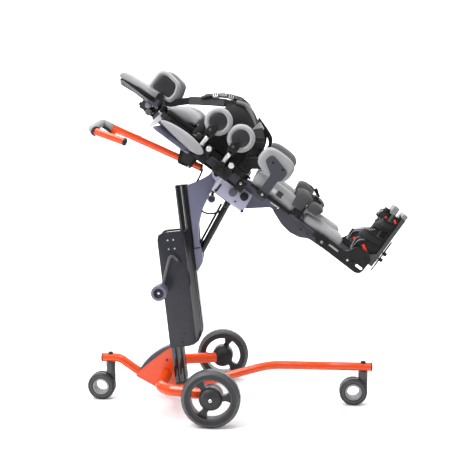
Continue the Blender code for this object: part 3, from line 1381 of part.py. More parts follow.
def build():
    root = frame("axle_line", None, (AXLE_X, 0.0, 0.0))
    build_base(root)
    build_wheel("wheel_near", root, NEAR, 5)
    build_wheel("wheel_far", root, FAR, 70)
    build_caster("rear_caster", root, REAR_STEM_X, REAR_TUBE_Z)
    build_caster("front_caster", root, FRONT_STEM_X, FRONT_TUBE_Z)
    mast = frame("mast_axis", root, (MAST_FOOT_X, 0.0, MAST_FOOT_Z), -MAST_LEAN)
    build_mast(mast)
    lift = frame("lift_axis", mast, (0.0, 0.0, 0.0))
    build_lift(lift)
    build_strut(root)
    tilt = frame("tilt_axis", root, (PIVOT_X, 0.0, PIVOT_Z), BODY_TILT)
    build_tilt_frame(tilt)
    build_handle(tilt)
    build_trunk(tilt)
    build_arm_pads(tilt)
    build_head(tilt)
    build_hips(tilt)
    for word, side in SIDES:
        build_leg(word, side, tilt)


build()
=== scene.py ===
import math

import bmesh
import bpy
from mathutils import Matrix, Vector


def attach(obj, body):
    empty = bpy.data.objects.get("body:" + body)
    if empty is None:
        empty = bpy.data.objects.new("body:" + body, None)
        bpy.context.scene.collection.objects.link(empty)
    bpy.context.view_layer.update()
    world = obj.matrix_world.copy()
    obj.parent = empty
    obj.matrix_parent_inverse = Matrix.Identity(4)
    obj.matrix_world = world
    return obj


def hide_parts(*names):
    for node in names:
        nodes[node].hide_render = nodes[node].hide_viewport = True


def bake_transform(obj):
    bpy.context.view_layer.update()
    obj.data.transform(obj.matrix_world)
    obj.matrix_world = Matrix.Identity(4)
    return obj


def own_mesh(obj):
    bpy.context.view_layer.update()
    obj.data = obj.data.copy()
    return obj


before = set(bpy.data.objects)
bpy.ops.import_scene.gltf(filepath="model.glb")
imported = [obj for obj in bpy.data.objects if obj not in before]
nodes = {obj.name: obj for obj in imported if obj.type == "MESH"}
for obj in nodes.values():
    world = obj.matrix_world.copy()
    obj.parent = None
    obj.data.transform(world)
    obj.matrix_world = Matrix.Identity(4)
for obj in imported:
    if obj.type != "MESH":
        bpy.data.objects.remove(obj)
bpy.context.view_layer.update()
scene = bpy.context.scene

NEAR, FAR = -1, 1
SIDES = (("near", NEAR), ("far", FAR))
AXLE_X, AXLE_Z, WHEEL_Y = -0.0883, 0.1, 0.28
FRONT_MAST, MAST_HALF = 0.0826, 0.0212


def turned_frame(x, y, z, degrees):
    return Matrix.Translation((x, y, z)) @ Matrix.Rotation(math.radians(degrees), 4, "Y")


# The part's own frames: base from the wheel axle, leaning mast, tilting body, head and footplate.
BASE = turned_frame(AXLE_X, 0.0, 0.0, 0.0)
MAST = BASE @ turned_frame(-0.1296, 0.0, 0.068, -6.6)
TILT = BASE @ turned_frame(0.0, 0.0, 0.84, 36.5)
HEAD = TILT @ turned_frame(-0.4, 0.0, 0.061, -6.0)
HINGE_U, HINGE_N = 0.58, 0.085
FOOT = TILT @ turned_frame(HINGE_U, 0.0, HINGE_N, -2.0) @ Matrix.Translation((-HINGE_U, 0.0, -HINGE_N))


# Camera, light and floor.

def make_camera():
    focal_px, photo_px, sensor = 907.98, 460, 36.0
    yaw, pitch, roll = math.radians(-3.779), math.radians(7.737), 0.0032
    data = bpy.data.cameras.new("camera")
    data.sensor_width = sensor
    data.lens = sensor * (focal_px / photo_px)
    camera = bpy.data.objects.new("camera", data)
    scene.collection.objects.link(camera)
    ahead = Vector((math.sin(yaw) * math.cos(pitch), math.cos(yaw) * math.cos(pitch), -math.sin(pitch)))
    right = Vector((math.cos(yaw), -math.sin(yaw), 0.0))
    up = right.cross(ahead)
    side = right * math.cos(roll) + up * math.sin(roll)
    top = up * math.cos(roll) - right * math.sin(roll)
    pose = Matrix((side, top, -ahead)).transposed().to_4x4()
    pose.translation = (0.2574 + AXLE_X, -3.2224, 1.0741)
    camera.matrix_world = pose
    scene.camera = camera


def make_light(name, place, aim, size, power):
    data = bpy.data.lights.new(name, "AREA")
    data.shape = "RECTANGLE"
    data.size, data.size_y = size
    data.energy = power
    light = bpy.data.objects.new(name, data)
    scene.collection.objects.link(light)
    light.location = place
    light.rotation_euler = (Vector(aim) - Vector(place)).to_track_quat("-Z", "Y").to_euler()


def make_stage():
    world = bpy.data.worlds.new("studio")
    world.use_nodes = True
    tree = world.node_tree
    # Bright overhead and behind, dimmer towards the floor and the viewer, so gloss shows light and dark.
    split = tree.nodes.new("ShaderNodeSeparateXYZ")
    tree.links.new(tree.nodes.new("ShaderNodeTexCoord").outputs["Generated"], split.inputs["Vector"])
    rise = tree.nodes.new("ShaderNodeMapRange")
    for key, value in (("From Min", -0.1), ("From Max", 0.9), ("To Min", 0.09), ("To Max", 0.95)):
        rise.inputs[key].default_value = value
    tree.links.new(split.outputs["Z"], rise.inputs["Value"])
    tree.links.new(rise.outputs["Result"], tree.nodes["Background"].inputs["Strength"])
    tree.nodes["Background"].inputs["Color"].default_value = (1.0, 1.0, 1.0, 1.0)
    scene.world = world
    scene.view_settings.view_transform = "Standard"
    make_light("key", (-1.7, -1.5, 3.1), (0.0, 0.0, 0.6), (1.5, 1.0), 70.0)
    make_light("fill", (2.4, -2.4, 1.6), (0.1, 0.0, 0.7), (1.0, 1.6), 11.0)
    make_light("edge", (-2.6, -1.0, 1.1), (0.0, 0.0, 0.8), (0.5, 2.2), 30.0)
    make_light("top", (0.1, 0.2, 3.4), (0.0, 0.0, 0.0), (2.6, 2.2), 115.0)
    make_light("wall", (0.0, 2.2, 2.6), (0.0, 4.5, 1.0), (5.0, 1.2), 150.0)
    # A paper sweep: flat under the part, then curved up into a wall.
    flat, curve, wall, radius = 8, 10, 7, 2.2
    bm = bmesh.new()
    rows = []
    for step in range(flat + curve + wall):
        if step < flat:
            y, z = -4.5 + step * 0.85, 0.0
        else:
            turn = min(1.0, (step - flat) / curve) * math.pi / 2
            y = 1.45 + radius * math.sin(turn)
            z = radius * (1 - math.cos(turn)) + max(0, step - flat - curve) * 0.6
        rows.append([bm.verts.new((x, y, z - 0.0005)) for x in (-7.0, -2.0, 2.0, 7.0)])
    for low, high in zip(rows, rows[1:]):
        for i in range(3):
            bm.faces.new((low[i], low[i + 1], high[i + 1], high[i]))
    mesh = bpy.data.meshes.new("floor")
    bm.to_mesh(mesh)
    bm.free()
    for face in mesh.polygons:
        face.use_smooth = True
    floor = bpy.data.objects.new("floor", mesh)
    scene.collection.objects.link(floor)
    paper = finish("floor_paper", (0.86, 0.86, 0.87), 0.02, 3.0, 0.75, bump=0.02, bump_scale=90)
    floor.data.materials.append(paper)


# Materials.

ROUGH_VARY = 0.08
# Sockets of a colour mix node, which has them for numbers and vectors too.
MIX_FACTOR, MIX_A, MIX_B, MIX_RESULT = 0, 6, 7, 2


def finish(name, colour, vary=0.06, scale=14.0, roughness=0.4, metallic=0.0, bump=0.05, bump_scale=300.0,
           weave=None, coat=0.0, sheen=0.0, specular=0.5):
    """A painted, moulded or woven surface: its colour and roughness vary, and its bump is grain or weave."""
    made = bpy.data.materials.new(name)
    made.use_nodes = True
    tree = made.node_tree
    shader = tree.nodes["Principled BSDF"]
    shader.inputs["Metallic"].default_value = metallic
    shader.inputs["Coat Weight"].default_value = coat
    shader.inputs["Coat Roughness"].default_value = 0.08
    shader.inputs["Sheen Weight"].default_value = sheen
    shader.inputs["Sheen Roughness"].default_value = 0.4
    shader.inputs["Specular IOR Level"].default_value = specular

    def node(kind, **values):
        new = tree.nodes.new(kind)
        for key, value in values.items():
            if key in new.inputs:
                new.inputs[key].default_value = value
            else:
                setattr(new, key, value)
        return new

    def link(source, target):
        tree.links.new(source, target)

    where = node("ShaderNodeTexCoord").outputs["UV" if weave == "webbing" else "Object"]
    cloud = node("ShaderNodeTexNoise", Scale=scale, Detail=4.0, Roughness=0.6)
    link(node("ShaderNodeTexCoord").outputs["Object"], cloud.inputs["Vector"])
    tint = node("ShaderNodeMix", data_type="RGBA")
    dark = [c * (1 - vary) for c in colour] + [1.0]
    light = [min(1.0, c * (1 + vary)) for c in colour] + [1.0]
    tint.inputs[MIX_A].default_value = dark
    tint.inputs[MIX_B].default_value = light
    link(cloud.outputs["Fac"], tint.inputs[MIX_FACTOR])
    shade = tint.outputs[MIX_RESULT]

    if weave == "knit":
        cells = node("ShaderNodeTexVoronoi", Scale=bump_scale, feature="DISTANCE_TO_EDGE")
        link(where, cells.inputs["Vector"])
        spread = node("ShaderNodeMapRange")
        spread.inputs["From Max"].default_value = 0.3
        link(cells.outputs["Distance"], spread.inputs["Value"])
        height = spread.outputs["Result"]
    elif weave == "webbing":
        bands = node("ShaderNodeTexWave", Scale=bump_scale, bands_direction="X", Distortion=0.4)
        link(where, bands.inputs["Vector"])
        height = bands.outputs["Fac"]
    elif weave == "brushed":
        stretch = node("ShaderNodeMapping")
        stretch.inputs["Scale"].default_value = (1.0, 1.0, 0.02)
        link(where, stretch.inputs["Vector"])
        grain = node("ShaderNodeTexNoise", Scale=bump_scale, Detail=3.0)
        link(stretch.outputs["Vector"], grain.inputs["Vector"])
        height = grain.outputs["Fac"]
    else:
        grain = node("ShaderNodeTexNoise", Scale=bump_scale, Detail=3.0, Roughness=0.6)
        link(where, grain.inputs["Vector"])
        height = grain.outputs["Fac"]

    if weave in ("knit", "webbing"):
        thread = node("ShaderNodeMix", data_type="RGBA", blend_type="MULTIPLY")
        thread.inputs[MIX_FACTOR].default_value = 1.0
        ramp = node("ShaderNodeMapRange")
        ramp.inputs["To Min"].default_value = 0.78
        link(height, ramp.inputs["Value"])
        link(shade, thread.inputs[MIX_A])
        link(ramp.outputs["Result"], thread.inputs[MIX_B])
        shade = thread.outputs[MIX_RESULT]
    link(shade, shader.inputs["Base Color"])

    rough = node("ShaderNodeMapRange")
    rough.inputs["To Min"].default_value = max(0.03, roughness - ROUGH_VARY)
    rough.inputs["To Max"].default_value = min(1.0, roughness + ROUGH_VARY)
    link(cloud.outputs["Fac"], rough.inputs["Value"])
    link(rough.outputs["Result"], shader.inputs["Roughness"])

    raised = node("ShaderNodeBump", Strength=bump, Distance=0.0008)
    link(height, raised.inputs["Height"])
    link(raised.outputs["Normal"], shader.inputs["Normal"])
    return made


ORANGE = finish("orange_paint", (0.66, 0.056, 0.003), 0.05, 9, 0.22, bump=0.03, bump_scale=420, coat=0.25)
BLACK_COAT = finish("black_coating", (0.006, 0.006, 0.007), 0.25, 12, 0.26, bump=0.06, bump_scale=700,
                    coat=0.15, specular=0.35)
BLACK_GLOSS = finish("black_gloss", (0.0165, 0.0172, 0.0245), 0.15, 8, 0.3, bump=0.03, bump_scale=500,
                     coat=0.1, specular=0.4)
BLACK_MOULD = finish("black_moulded", (0.007, 0.007, 0.0075), 0.25, 14, 0.4, bump=0.14, bump_scale=900,
                     specular=0.3)
SLATE = finish("slate_paint", (0.14, 0.141, 0.195), 0.08, 10, 0.34, metallic=0.35, bump=0.05, bump_scale=900)
SLATE_DARK = finish("dark_slate", (0.04, 0.041, 0.052), 0.1, 12, 0.42, bump=0.12, bump_scale=900)
PLATE_GREY = finish("plate_grey", (0.05, 0.052, 0.056), 0.14, 14, 0.44, bump=0.12, bump_scale=800,
                    specular=0.35)
HORN_PAINT = finish("horn_paint", (0.16, 0.16, 0.235), 0.06, 8, 0.32, metallic=0.4, bump=0.04,
                    bump_scale=900)
LILAC = finish("lilac_paint", (0.47, 0.465, 0.61), 0.05, 9, 0.34, metallic=0.25, bump=0.04, bump_scale=900)
RUBBER = finish("grey_rubber", (0.02, 0.0205, 0.022), 0.16, 18, 0.42, bump=0.14, bump_scale=800,
                specular=0.4)
TYRE_BAND = finish("tyre_band", (0.045, 0.046, 0.049), 0.14, 22, 0.44, bump=0.16, bump_scale=700)
CASTER_GREY = finish("caster_plastic", (0.042, 0.043, 0.048), 0.12, 16, 0.42, bump=0.1, bump_scale=700)
HUB_GREY = finish("hub_grey", (0.235, 0.24, 0.25), 0.08, 16, 0.4, bump=0.08, bump_scale=600)
PALE_PLASTIC = finish("pale_plastic", (0.62, 0.64, 0.65), 0.05, 14, 0.38, bump=0.06, bump_scale=600)
STEEL = finish("bright_steel", (0.72, 0.72, 0.73), 0.06, 20, 0.2, metallic=1.0, bump=0.05, bump_scale=500,
               weave="brushed")
SILVER = finish("silver_knob", (0.86, 0.86, 0.87), 0.04, 30, 0.24, metallic=0.55, bump=0.04, bump_scale=600)
GREY_KNIT = finish("grey_knit", (0.335, 0.338, 0.348), 0.06, 10, 0.88, bump=0.45, bump_scale=420,
                   weave="knit", sheen=0.22, specular=0.25)
MID_KNIT = finish("mid_grey_knit", (0.185, 0.186, 0.194), 0.08, 12, 0.9, bump=0.45, bump_scale=420,
                  weave="knit", sheen=0.2, specular=0.2)
CHARCOAL_KNIT = finish("charcoal_knit", (0.06, 0.06, 0.063), 0.14, 14, 0.92, bump=0.5, bump_scale=460,
                       weave="knit", sheen=0.2, specular=0.2)
BLACK_KNIT = finish("black_knit", (0.009, 0.009, 0.0095), 0.25, 14, 0.9, bump=0.5, bump_scale=460,
                    weave="knit", sheen=0.06, specular=0.25)
BLACK_KNOB = finish("black_satin", (0.01, 0.01, 0.011), 0.2, 14, 0.55, bump=0.12, bump_scale=800,
                    specular=0.25)
MAST_BLACK = finish("mast_black", (0.008, 0.008, 0.01), 0.2, 10, 0.12, bump=0.01, bump_scale=500, coat=0.7)
MID_SHELL = finish("mid_shell", (0.09, 0.09, 0.098), 0.12, 16, 0.46, bump=0.12, bump_scale=700)
SHELL_GREY = finish("shell_grey", (0.022, 0.022, 0.024), 0.16, 16, 0.36, bump=0.12, bump_scale=700,
                    specular=0.4)
TOE_GREY = finish("toe_grey", (0.17, 0.182, 0.177), 0.06, 16, 0.55, bump=0.1, bump_scale=600)
BLACK_WEB = finish("black_webbing", (0.009, 0.009, 0.0095), 0.2, 30, 0.74, bump=0.5, bump_scale=160,
                   weave="webbing", specular=0.3)
GREY_WEB = finish("grey_webbing", (0.23, 0.232, 0.24), 0.08, 30, 0.8, bump=0.5, bump_scale=160,
                  weave="webbing", specular=0.2)
FOAM = finish("grey_foam", (0.27, 0.28, 0.275), 0.12, 60, 0.92, bump=0.6, bump_scale=1200, specular=0.2)
RED = finish("red_clip", (0.62, 0.022, 0.01), 0.05, 20, 0.36, bump=0.05, bump_scale=600)


# Mesh helpers.

def piece(name, bm, at, made, body, soften=0, crisp=None):
    """An object from a bmesh in a frame, with its material, riding on a body."""
    bmesh.ops.recalc_face_normals(bm, faces=bm.faces)
    bm.transform(at)
    mesh = bpy.data.meshes.new(name)
    bm.to_mesh(mesh)
    bm.free()
    obj = bpy.data.objects.new(name, mesh)
    scene.collection.objects.link(obj)
    mesh.materials.append(made)
    for face in mesh.polygons:
        face.use_smooth = True
    if crisp:
        mesh.set_sharp_from_angle(angle=math.radians(crisp))
    if soften:
        smooth = obj.modifiers.new("smooth", "SUBSURF")
        smooth.levels = smooth.render_levels = soften
    if body:
        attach(obj, body)
    return obj


def loft(bm, rings, caps=True):
    """Faces between rings of points; the first and last ring are closed."""
    made = [[bm.verts.new(point) for point in ring] for ring in rings]
    count = len(made[0])
    for low, high in zip(made, made[1:]):
        for i in range(count):
            j = (i + 1) % count
            bm.faces.new((low[i], low[j], high[j], high[i]))
    if caps:
        bm.faces.new(list(reversed(made[0])))
        bm.faces.new(made[-1])
    return made


def smooth_path(points, steps=6):
    """Points on a smooth curve through the given ones."""
    points = [Vector(p) for p in points]
    ends = [2 * points[0] - points[1]] + points + [2 * points[-1] - points[-2]]
    path = []
    for a, b, c, d in zip(ends, ends[1:], ends[2:], ends[3:]):
        for step in range(steps):
            t = step / steps
            path.append(0.5 * (2 * b + (c - a) * t + (2 * a - 5 * b + 4 * c - d) * t * t
                               + (3 * b - 3 * c + d - a) * t ** 3))
    path.append(points[-1])
    return path


def tube_rings(path, radius, sides=10):
    """Circles round a path, for a tube of one radius or one that changes along it."""
    turns = [2 * math.pi * k / sides for k in range(sides)]
    rings = []
    side = None
    for i, point in enumerate(path):
        along = (path[min(i + 1, len(path) - 1)] - path[max(i - 1, 0)]).normalized()
        if side is None:
            side = along.orthogonal().normalized()
        side = (side - along * side.dot(along)).normalized()
        other = along.cross(side)
        size = radius(i / (len(path) - 1)) if callable(radius) else radius
        rings.append([point + (side * math.cos(turn) + other * math.sin(turn)) * size for turn in turns])
    return rings


def wire(name, points, radius, at, made, body, steps=6, sides=10):
    bm = bmesh.new()
    loft(bm, tube_rings(smooth_path(points, steps), radius, sides))
    return piece(name, bm, at, made, body)


# Half widths and half heights round a strap's section, with its edges rounded.
WEB_SECTION = ((-1, -0.4), (-0.94, -1), (0.94, -1), (1, -0.4), (1, 0.4), (0.94, 1), (-0.94, 1), (-1, 0.4))


def strap(name, points, width, thick, at, made, body, across=(0.0, 1.0, 0.0), steps=8):
    """Flat webbing along a path: rounded edges, and its length and width in metres as its map."""
    path = smooth_path(points, steps)
    bm = bmesh.new()
    across = Vector(across)
    rings, run, far = [], [], 0.0
    for i, point in enumerate(path):
        along = (path[min(i + 1, len(path) - 1)] - path[max(i - 1, 0)]).normalized()
        wide = (across - along * across.dot(along)).normalized() * (width / 2)
        up = along.cross(wide).normalized() * (thick / 2)
        rings.append([point + wide * a + up * b for a, b in WEB_SECTION])
        far += (point - path[max(i - 1, 0)]).length
        run.append(far)
    made_rings = loft(bm, rings)
    flat = bm.loops.layers.uv.new("map")
    place = {}
    for ring, distance in zip(made_rings, run):
        for k, vert in enumerate(ring):
            place[vert] = (distance, (k % 4) * width / 4)
    for face in bm.faces:
        for corner in face.loops:
            corner[flat].uv = place[corner.vert]
    return piece(name, bm, at, made, body, crisp=50)


def turned(name, profile, at, made, body, sides=24, lobes=0, depth=0.0, ring=False):
    """A piece turned about its frame's Z axis from (radius, height) pairs.

    Lobes make a star knob, and ring leaves it hollow.
    """
    bm = bmesh.new()
    rings = []
    for radius, height in profile:
        circle = []
        for k in range(sides):
            turn = 2 * math.pi * k / sides
            wave = 1 + depth * math.cos(lobes * turn) if lobes else 1.0
            circle.append((radius * wave * math.cos(turn), radius * wave * math.sin(turn), height))
        rings.append(circle)
    loft(bm, rings + rings[:1] if ring else rings, caps=not ring)
    bmesh.ops.remove_doubles(bm, verts=bm.verts, dist=1e-7)
    return piece(name, bm, at, made, body, crisp=35)


def facing(at, point, out):
    """A frame at a point whose Z axis runs along out, both given in frame at."""
    return at @ Matrix.Translation(point) @ Vector(out).to_track_quat("Z", "Y").to_matrix().to_4x4()


def rounded(corners, steps=5):
    """The outline of (a, b, radius) corners with its corners rounded."""
    points = []
    count = len(corners)
    for i, (a, b, radius) in enumerate(corners):
        here = Vector((a, b))
        back = (Vector(corners[i - 1][:2]) - here).normalized()
        on = (Vector(corners[(i + 1) % count][:2]) - here).normalized()
        if radius <= 0:
            points.append(here)
            continue
        angle = back.angle(on)
        reach = radius / math.tan(angle / 2)
        start, end = here + back * reach, here + on * reach
        for step in range(steps + 1):
            t = step / steps
            points.append((1 - t) ** 2 * start + 2 * t * (1 - t) * here + t * t * end)
    return points


def slab(name, corners, low, high, at, made, body, axis="Y", edge=0.001, steps=5, dome=0.0):
    """A plate with rounded corners and softened edges; low and high are along the axis."""
    outline = rounded(corners, steps)
    middle = sum(outline, Vector((0.0, 0.0))) / len(outline)
    size = max((p - middle).length for p in outline)

    def lift(p, height):
        return {"Y": (p.x, height, p.y), "Z": (p.x, p.y, height), "X": (height, p.x, p.y)}[axis]

    inset = max(0.0, 1 - edge / size)
    sign = 1 if high > low else -1
    levels = [(inset, low), (1.0, low + sign * edge), (1.0, high - sign * edge), (inset, high)]
    if dome:
        levels += [(0.8, high + dome * 0.45), (0.55, high + dome * 0.8), (0.25, high + dome)]
    bm = bmesh.new()
    loft(bm, [[lift(middle + (p - middle) * scale, height) for p in outline] for scale, height in levels])
    return piece(name, bm, at, made, body, crisp=28)


def rectangle(left, right, low, high, radius):
    """The corners of a plate, all rounded alike."""
    return [(left, low, radius), (right, low, radius), (right, high, radius), (left, high, radius)]


def mirrored(points, side):
    """Points given on the far side, put on the side asked for."""
    return [(u, side * v, n) for u, v, n in points]


def blocks(name, boxes, at, made, body, edge=0.002, side=FAR):
    """Small moulded blocks with rounded edges, as one piece, put on the side asked for."""
    bm = bmesh.new()
    for low, high in boxes:
        low, high = Vector(low), Vector(high)
        low.y, high.y = sorted((side * low.y, side * high.y))
        for vert in bmesh.ops.create_cube(bm, size=1.0)["verts"]:
            vert.co = (low + high) / 2 + Vector(vert.co[i] * (high - low)[i] for i in range(3))
    bmesh.ops.bevel(bm, geom=bm.edges[:], offset=edge, segments=3, affect="EDGES", profile=0.6)
    return piece(name, bm, at, made, body, crisp=40)


def block(name, low, high, at, made, body, edge=0.002, side=FAR):
    return blocks(name, ((low, high),), at, made, body, edge, side)


def on_path(points, t, across=(0.0, 1.0, 0.0)):
    """A frame on a path: its X axis runs along the path, Y across it and Z up from it."""
    path = smooth_path(points, 8)
    spot = t * (len(path) - 1)
    i = min(int(spot), len(path) - 2)
    along = (path[i + 1] - path[i]).normalized()
    wide = Vector(across)
    wide = (wide - along * wide.dot(along)).normalized()
    here = Matrix((along, wide, along.cross(wide))).transposed().to_4x4()
    here.translation = path[i].lerp(path[i + 1], spot - i)
    return here


def slider(name, at, long, wide, thick, made, body):
    """A webbing adjuster: a frame with a middle bar."""
    a, b, c = long / 2, wide / 2, thick / 2
    rail = long * 0.16
    boxes = [((-a, -b, -c), (a, -b + rail, c)), ((-a, b - rail, -c), (a, b, c))]
    boxes += [((x - rail / 2, -b, -c * 1.15), (x + rail / 2, b, c * 1.15))
              for x in (-a + rail / 2, 0.0, a - rail / 2)]
    return blocks(name, boxes, at, made, body, min(0.0012, rail * 0.3))


def clip(name, at, long, wide, thick, made, body):
    """A side-release clip: body, tongue and two side arms."""
    a, b, c = long / 2, wide / 2, thick / 2
    boxes = [((-a, -b * 0.86, -c), (a * 0.2, b * 0.86, c)),
             ((a * 0.28, -b * 0.8, -c * 0.9), (a, b * 0.8, c * 0.9)),
             ((a * 0.05, -b, -c * 0.7), (a * 0.45, -b * 0.72, c * 0.7)),
             ((a * 0.05, b * 0.72, -c * 0.7), (a * 0.45, b, c * 0.7)),
             ((-a * 0.7, -b * 0.5, c * 0.7), (-a * 0.1, b * 0.5, c * 1.25))]
    return blocks(name, boxes, at, made, body, thick * 0.14)


def screw(name, at, point, out, radius, made, body, high=0.003):
    """A domed screw head with a socket."""
    r = radius
    profile = [(r, 0.0), (r, high * 0.4), (r * 0.85, high * 0.85), (r * 0.55, high), (r * 0.42, high),
               (r * 0.38, high * 0.35), (r * 0.05, high * 0.3)]
    return turned(name, profile, facing(at, point, out), made, body, 12)


def knob(name, at, point, out, radius, long, made, body, lobes=6):
    """A star knob on its collar."""
    r = radius
    profile = [(r * 0.45, 0.0), (r * 0.45, long * 0.3), (r * 0.8, long * 0.34), (r, long * 0.45),
               (r, long * 0.85), (r * 0.88, long * 0.97), (r * 0.5, long), (r * 0.1, long * 1.01)]
    return turned(name, profile, facing(at, point, out), made, body, 36, lobes, 0.09 if lobes else 0.0)


# Soft pieces.

SOFT = []
CLOTH_FRAMES = 20
# Within this height over its seat a cushion is pressed flat, by this share, and sinks in by this much.
SEAT_BAND, SEAT_PRESS, SEAT_SINK = 0.0045, 0.6, 0.0008
EDGE_LOOPS = (-0.72, 0.72)


def cage(rule, x_loops, y_loops, z_loops):
    """A coarse closed cage on a cube of half size 1, cut at the loops and shaped by a rule."""
    bm = bmesh.new()
    bmesh.ops.create_cube(bm, size=2.0)
    for axis, loops in enumerate((x_loops, y_loops, z_loops)):
        normal = Vector((0.0, 0.0, 0.0))
        normal[axis] = 1.0
        for place in loops:
            geometry = bm.verts[:] + bm.edges[:] + bm.faces[:]
            bmesh.ops.bisect_plane(bm, geom=geometry, plane_co=normal * place, plane_no=normal)
    for vert in bm.verts:
        vert.co = rule(*vert.co)
    return bm


def pad_rule(low, high, crown, waist, wedge=0.0):
    """A cushion in a box: flat below, crowned above, its sides drawn in between the corners."""
    low, high = Vector(low), Vector(high)
    middle, half = (low + high) / 2, (high - low) / 2

    def rule(x, y, z):
        bulge = (1 - x * x) * (1 - y * y)
        rise = crown * (bulge - 1) + wedge * x if z > 0 else 0.0
        along = x * (1 - waist * (1 - y * y))
        across = y * (1 - waist * (1 - x * x))
        return middle + Vector((along * half.x, across * half.y, z * half.z + rise))

    return rule


def settled(obj):
    """The object's mesh with its modifiers applied, in place of the old one."""
    depth = bpy.context.evaluated_depsgraph_get()
    mesh = bpy.data.meshes.new_from_object(obj.evaluated_get(depth))
    obj.modifiers.clear()
    obj.data = mesh


def cushion(name, bm, at, made, body, floor=None, cap=0.004, voxel=0.005, seams=(), takes=()):
    """A padded piece that will be blown up as cloth.

    Floor is the height of the seat that it stays above, and seams are its sewn lines.
    """
    obj = piece(name, bm, Matrix(), made, None, soften=3)
    settled(obj)
    shrink = obj.modifiers.new("shrink", "DISPLACE")
    shrink.strength = -cap * 0.6
    shrink.mid_level = 0.0
    grid = obj.modifiers.new("grid", "REMESH")
    grid.mode = "VOXEL"
    grid.voxel_size = voxel
    settled(obj)
    obj.data.materials.clear()
    obj.data.materials.append(made)
    SOFT.append(
        {"obj": obj, "at": at, "body": body, "floor": floor, "cap": cap, "seams": seams, "takes": takes,
         "rest": [v.co.copy() for v in obj.data.vertices]})


def blow_up():
    """Swell every cushion at once as cloth under air pressure, draw in the seams and place the pieces."""
    for soft in SOFT:
        cloth = soft["obj"].modifiers.new("cloth", "CLOTH")
        cloth.settings.quality = 4
        cloth.settings.mass = 0.25
        cloth.settings.tension_stiffness = 12
        cloth.settings.compression_stiffness = 12
        cloth.settings.bending_stiffness = 0.4
        cloth.settings.use_pressure = True
        cloth.settings.uniform_pressure_force = 4.0
        cloth.settings.effector_weights.gravity = 0.0
        cloth.collision_settings.use_collision = False
        cloth.point_cache.frame_start = 1
        cloth.point_cache.frame_end = CLOTH_FRAMES
    for step in range(1, CLOTH_FRAMES + 1):
        scene.frame_set(step)
    for soft in SOFT:
        settled(soft["obj"])
    scene.frame_set(1)
    for soft in SOFT:
        obj, cap, seat = soft["obj"], soft["cap"], soft["floor"]
        mesh = obj.data
        for vert, rest in zip(mesh.vertices, soft["rest"]):
            move = vert.co - rest
            if move.length > cap:
                vert.co = rest + move * (cap / move.length)
        mesh.update()
        normals = [v.normal.copy() for v in mesh.vertices]
        for vert, normal in zip(mesh.vertices, normals):
            if seat is not None and vert.co.z < seat + SEAT_BAND:
                vert.co.z = max(seat, seat + (vert.co.z - seat) * SEAT_PRESS - SEAT_SINK)
                continue
            for across, place, deep, wide in soft["seams"]:
                off = (vert.co.dot(Vector(across)) - place) / wide
                vert.co -= normal * deep * math.exp(-off * off)
        mesh.transform(soft["at"])
        for face in mesh.polygons:
            face.use_smooth = True
        smooth = obj.modifiers.new("smooth", "SUBSURF")
        smooth.levels = smooth.render_levels = 1
        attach(obj, soft["body"])
        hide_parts(*soft["takes"])


def oval(half_x, half_z, power):
    """A rounded-box outline."""
    points, count = [], 40
    for k in range(count):
        turn = 2 * math.pi * (k + 0.5) / count
        x = math.copysign(abs(math.cos(turn)) ** (2 / power), math.cos(turn))
        z = math.copysign(abs(math.sin(turn)) ** (2 / power), math.sin(turn))
        points.append(Vector((x * half_x, z * half_z)))
    return points


def ring_pad(name, outline, centre, thick, side, at, body, takes, shell=0.645, rim=0.0015):
    """A pad with a rolled rim round a moulded shell, its face to the child crowned and its edge piped."""
    t = thick / 2
    s = shell or 0.645
    dished = [(0.1, t - 0.0065), (s - 0.09, t - 0.0065), (s, t - 0.005), (s + 0.035, t - 0.001)]
    crowned = [(0.1, t + rim), (s - 0.09, t + rim), (s, t + rim), (s + 0.035, t + rim)]
    cushion_profile = [*(dished if shell else crowned), (s + 0.115, t + rim),
                       (s * 0.3 + 0.66, t + rim * 0.6), (0.93, t - 0.003), (0.98, t - 0.008),
                       (0.998, 0.0022), (1.014, 0.0012), (1.014, -0.0012), (0.998, -0.0022),
                       (0.98, -t + 0.008), (0.93, -t + 0.004), (0.85, -t + 0.0015), (0.68, -t),
                       (0.35, -t - 0.001), (0.06, -t - 0.0012)]
    shell_profile = [(0.06, t - 0.0062), (s - 0.045, t - 0.0062), (s, t - 0.0052), (s - 0.015, t - 0.003),
                     (s - 0.085, t - 0.0014), (s * 0.6, t - 0.0002), (0.06, t + 0.0006)]

    def rings(profile):
        return [[(centre[0] + p.x * k, centre[1] + side * d, centre[2] + p.y * k) for p in outline]
                for k, d in profile]

    bm = bmesh.new()
    loft(bm, rings(cushion_profile))
    # Faces turned in towards the child take the darker mid grey knit: painted shade. They are the same cloth
    # as the grey rim, darkened where it lies in shadow.
    for face in bm.faces:
        if (face.calc_center_median().y - centre[1]) * side < -0.0018:
            face.material_index = 1
    obj = piece(name, bm, at, GREY_KNIT, body, soften=1)
    obj.data.materials.append(MID_KNIT)
    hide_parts(takes)
    if shell:
        bm = bmesh.new()
        loft(bm, rings(shell_profile))
        piece(name + "_shell", bm, at, SHELL_GREY, body, soften=1)
    return obj


def ears(name, at, u, side, knuckle, low, high, inner, outer, body):
    """The moulded knuckle of a swinging pad: two ears, a web and the pin's heads."""
    for word, span in (("a", (-0.0125, -0.0062)), ("b", (0.0062, 0.0125))):
        block(f"{name}_ear_{word}", (u + span[0], inner, low), (u + span[1], outer, high), at, BLACK_MOULD,
              body, 0.0018, side)
    for word, way in (("a", -1), ("b", 1)):
        screw(f"{name}_pin_{word}", at, (u + way * 0.0123, side * knuckle[0], knuckle[1]), (way, 0, 0),
              0.0042, BLACK_COAT, body, 0.0018)


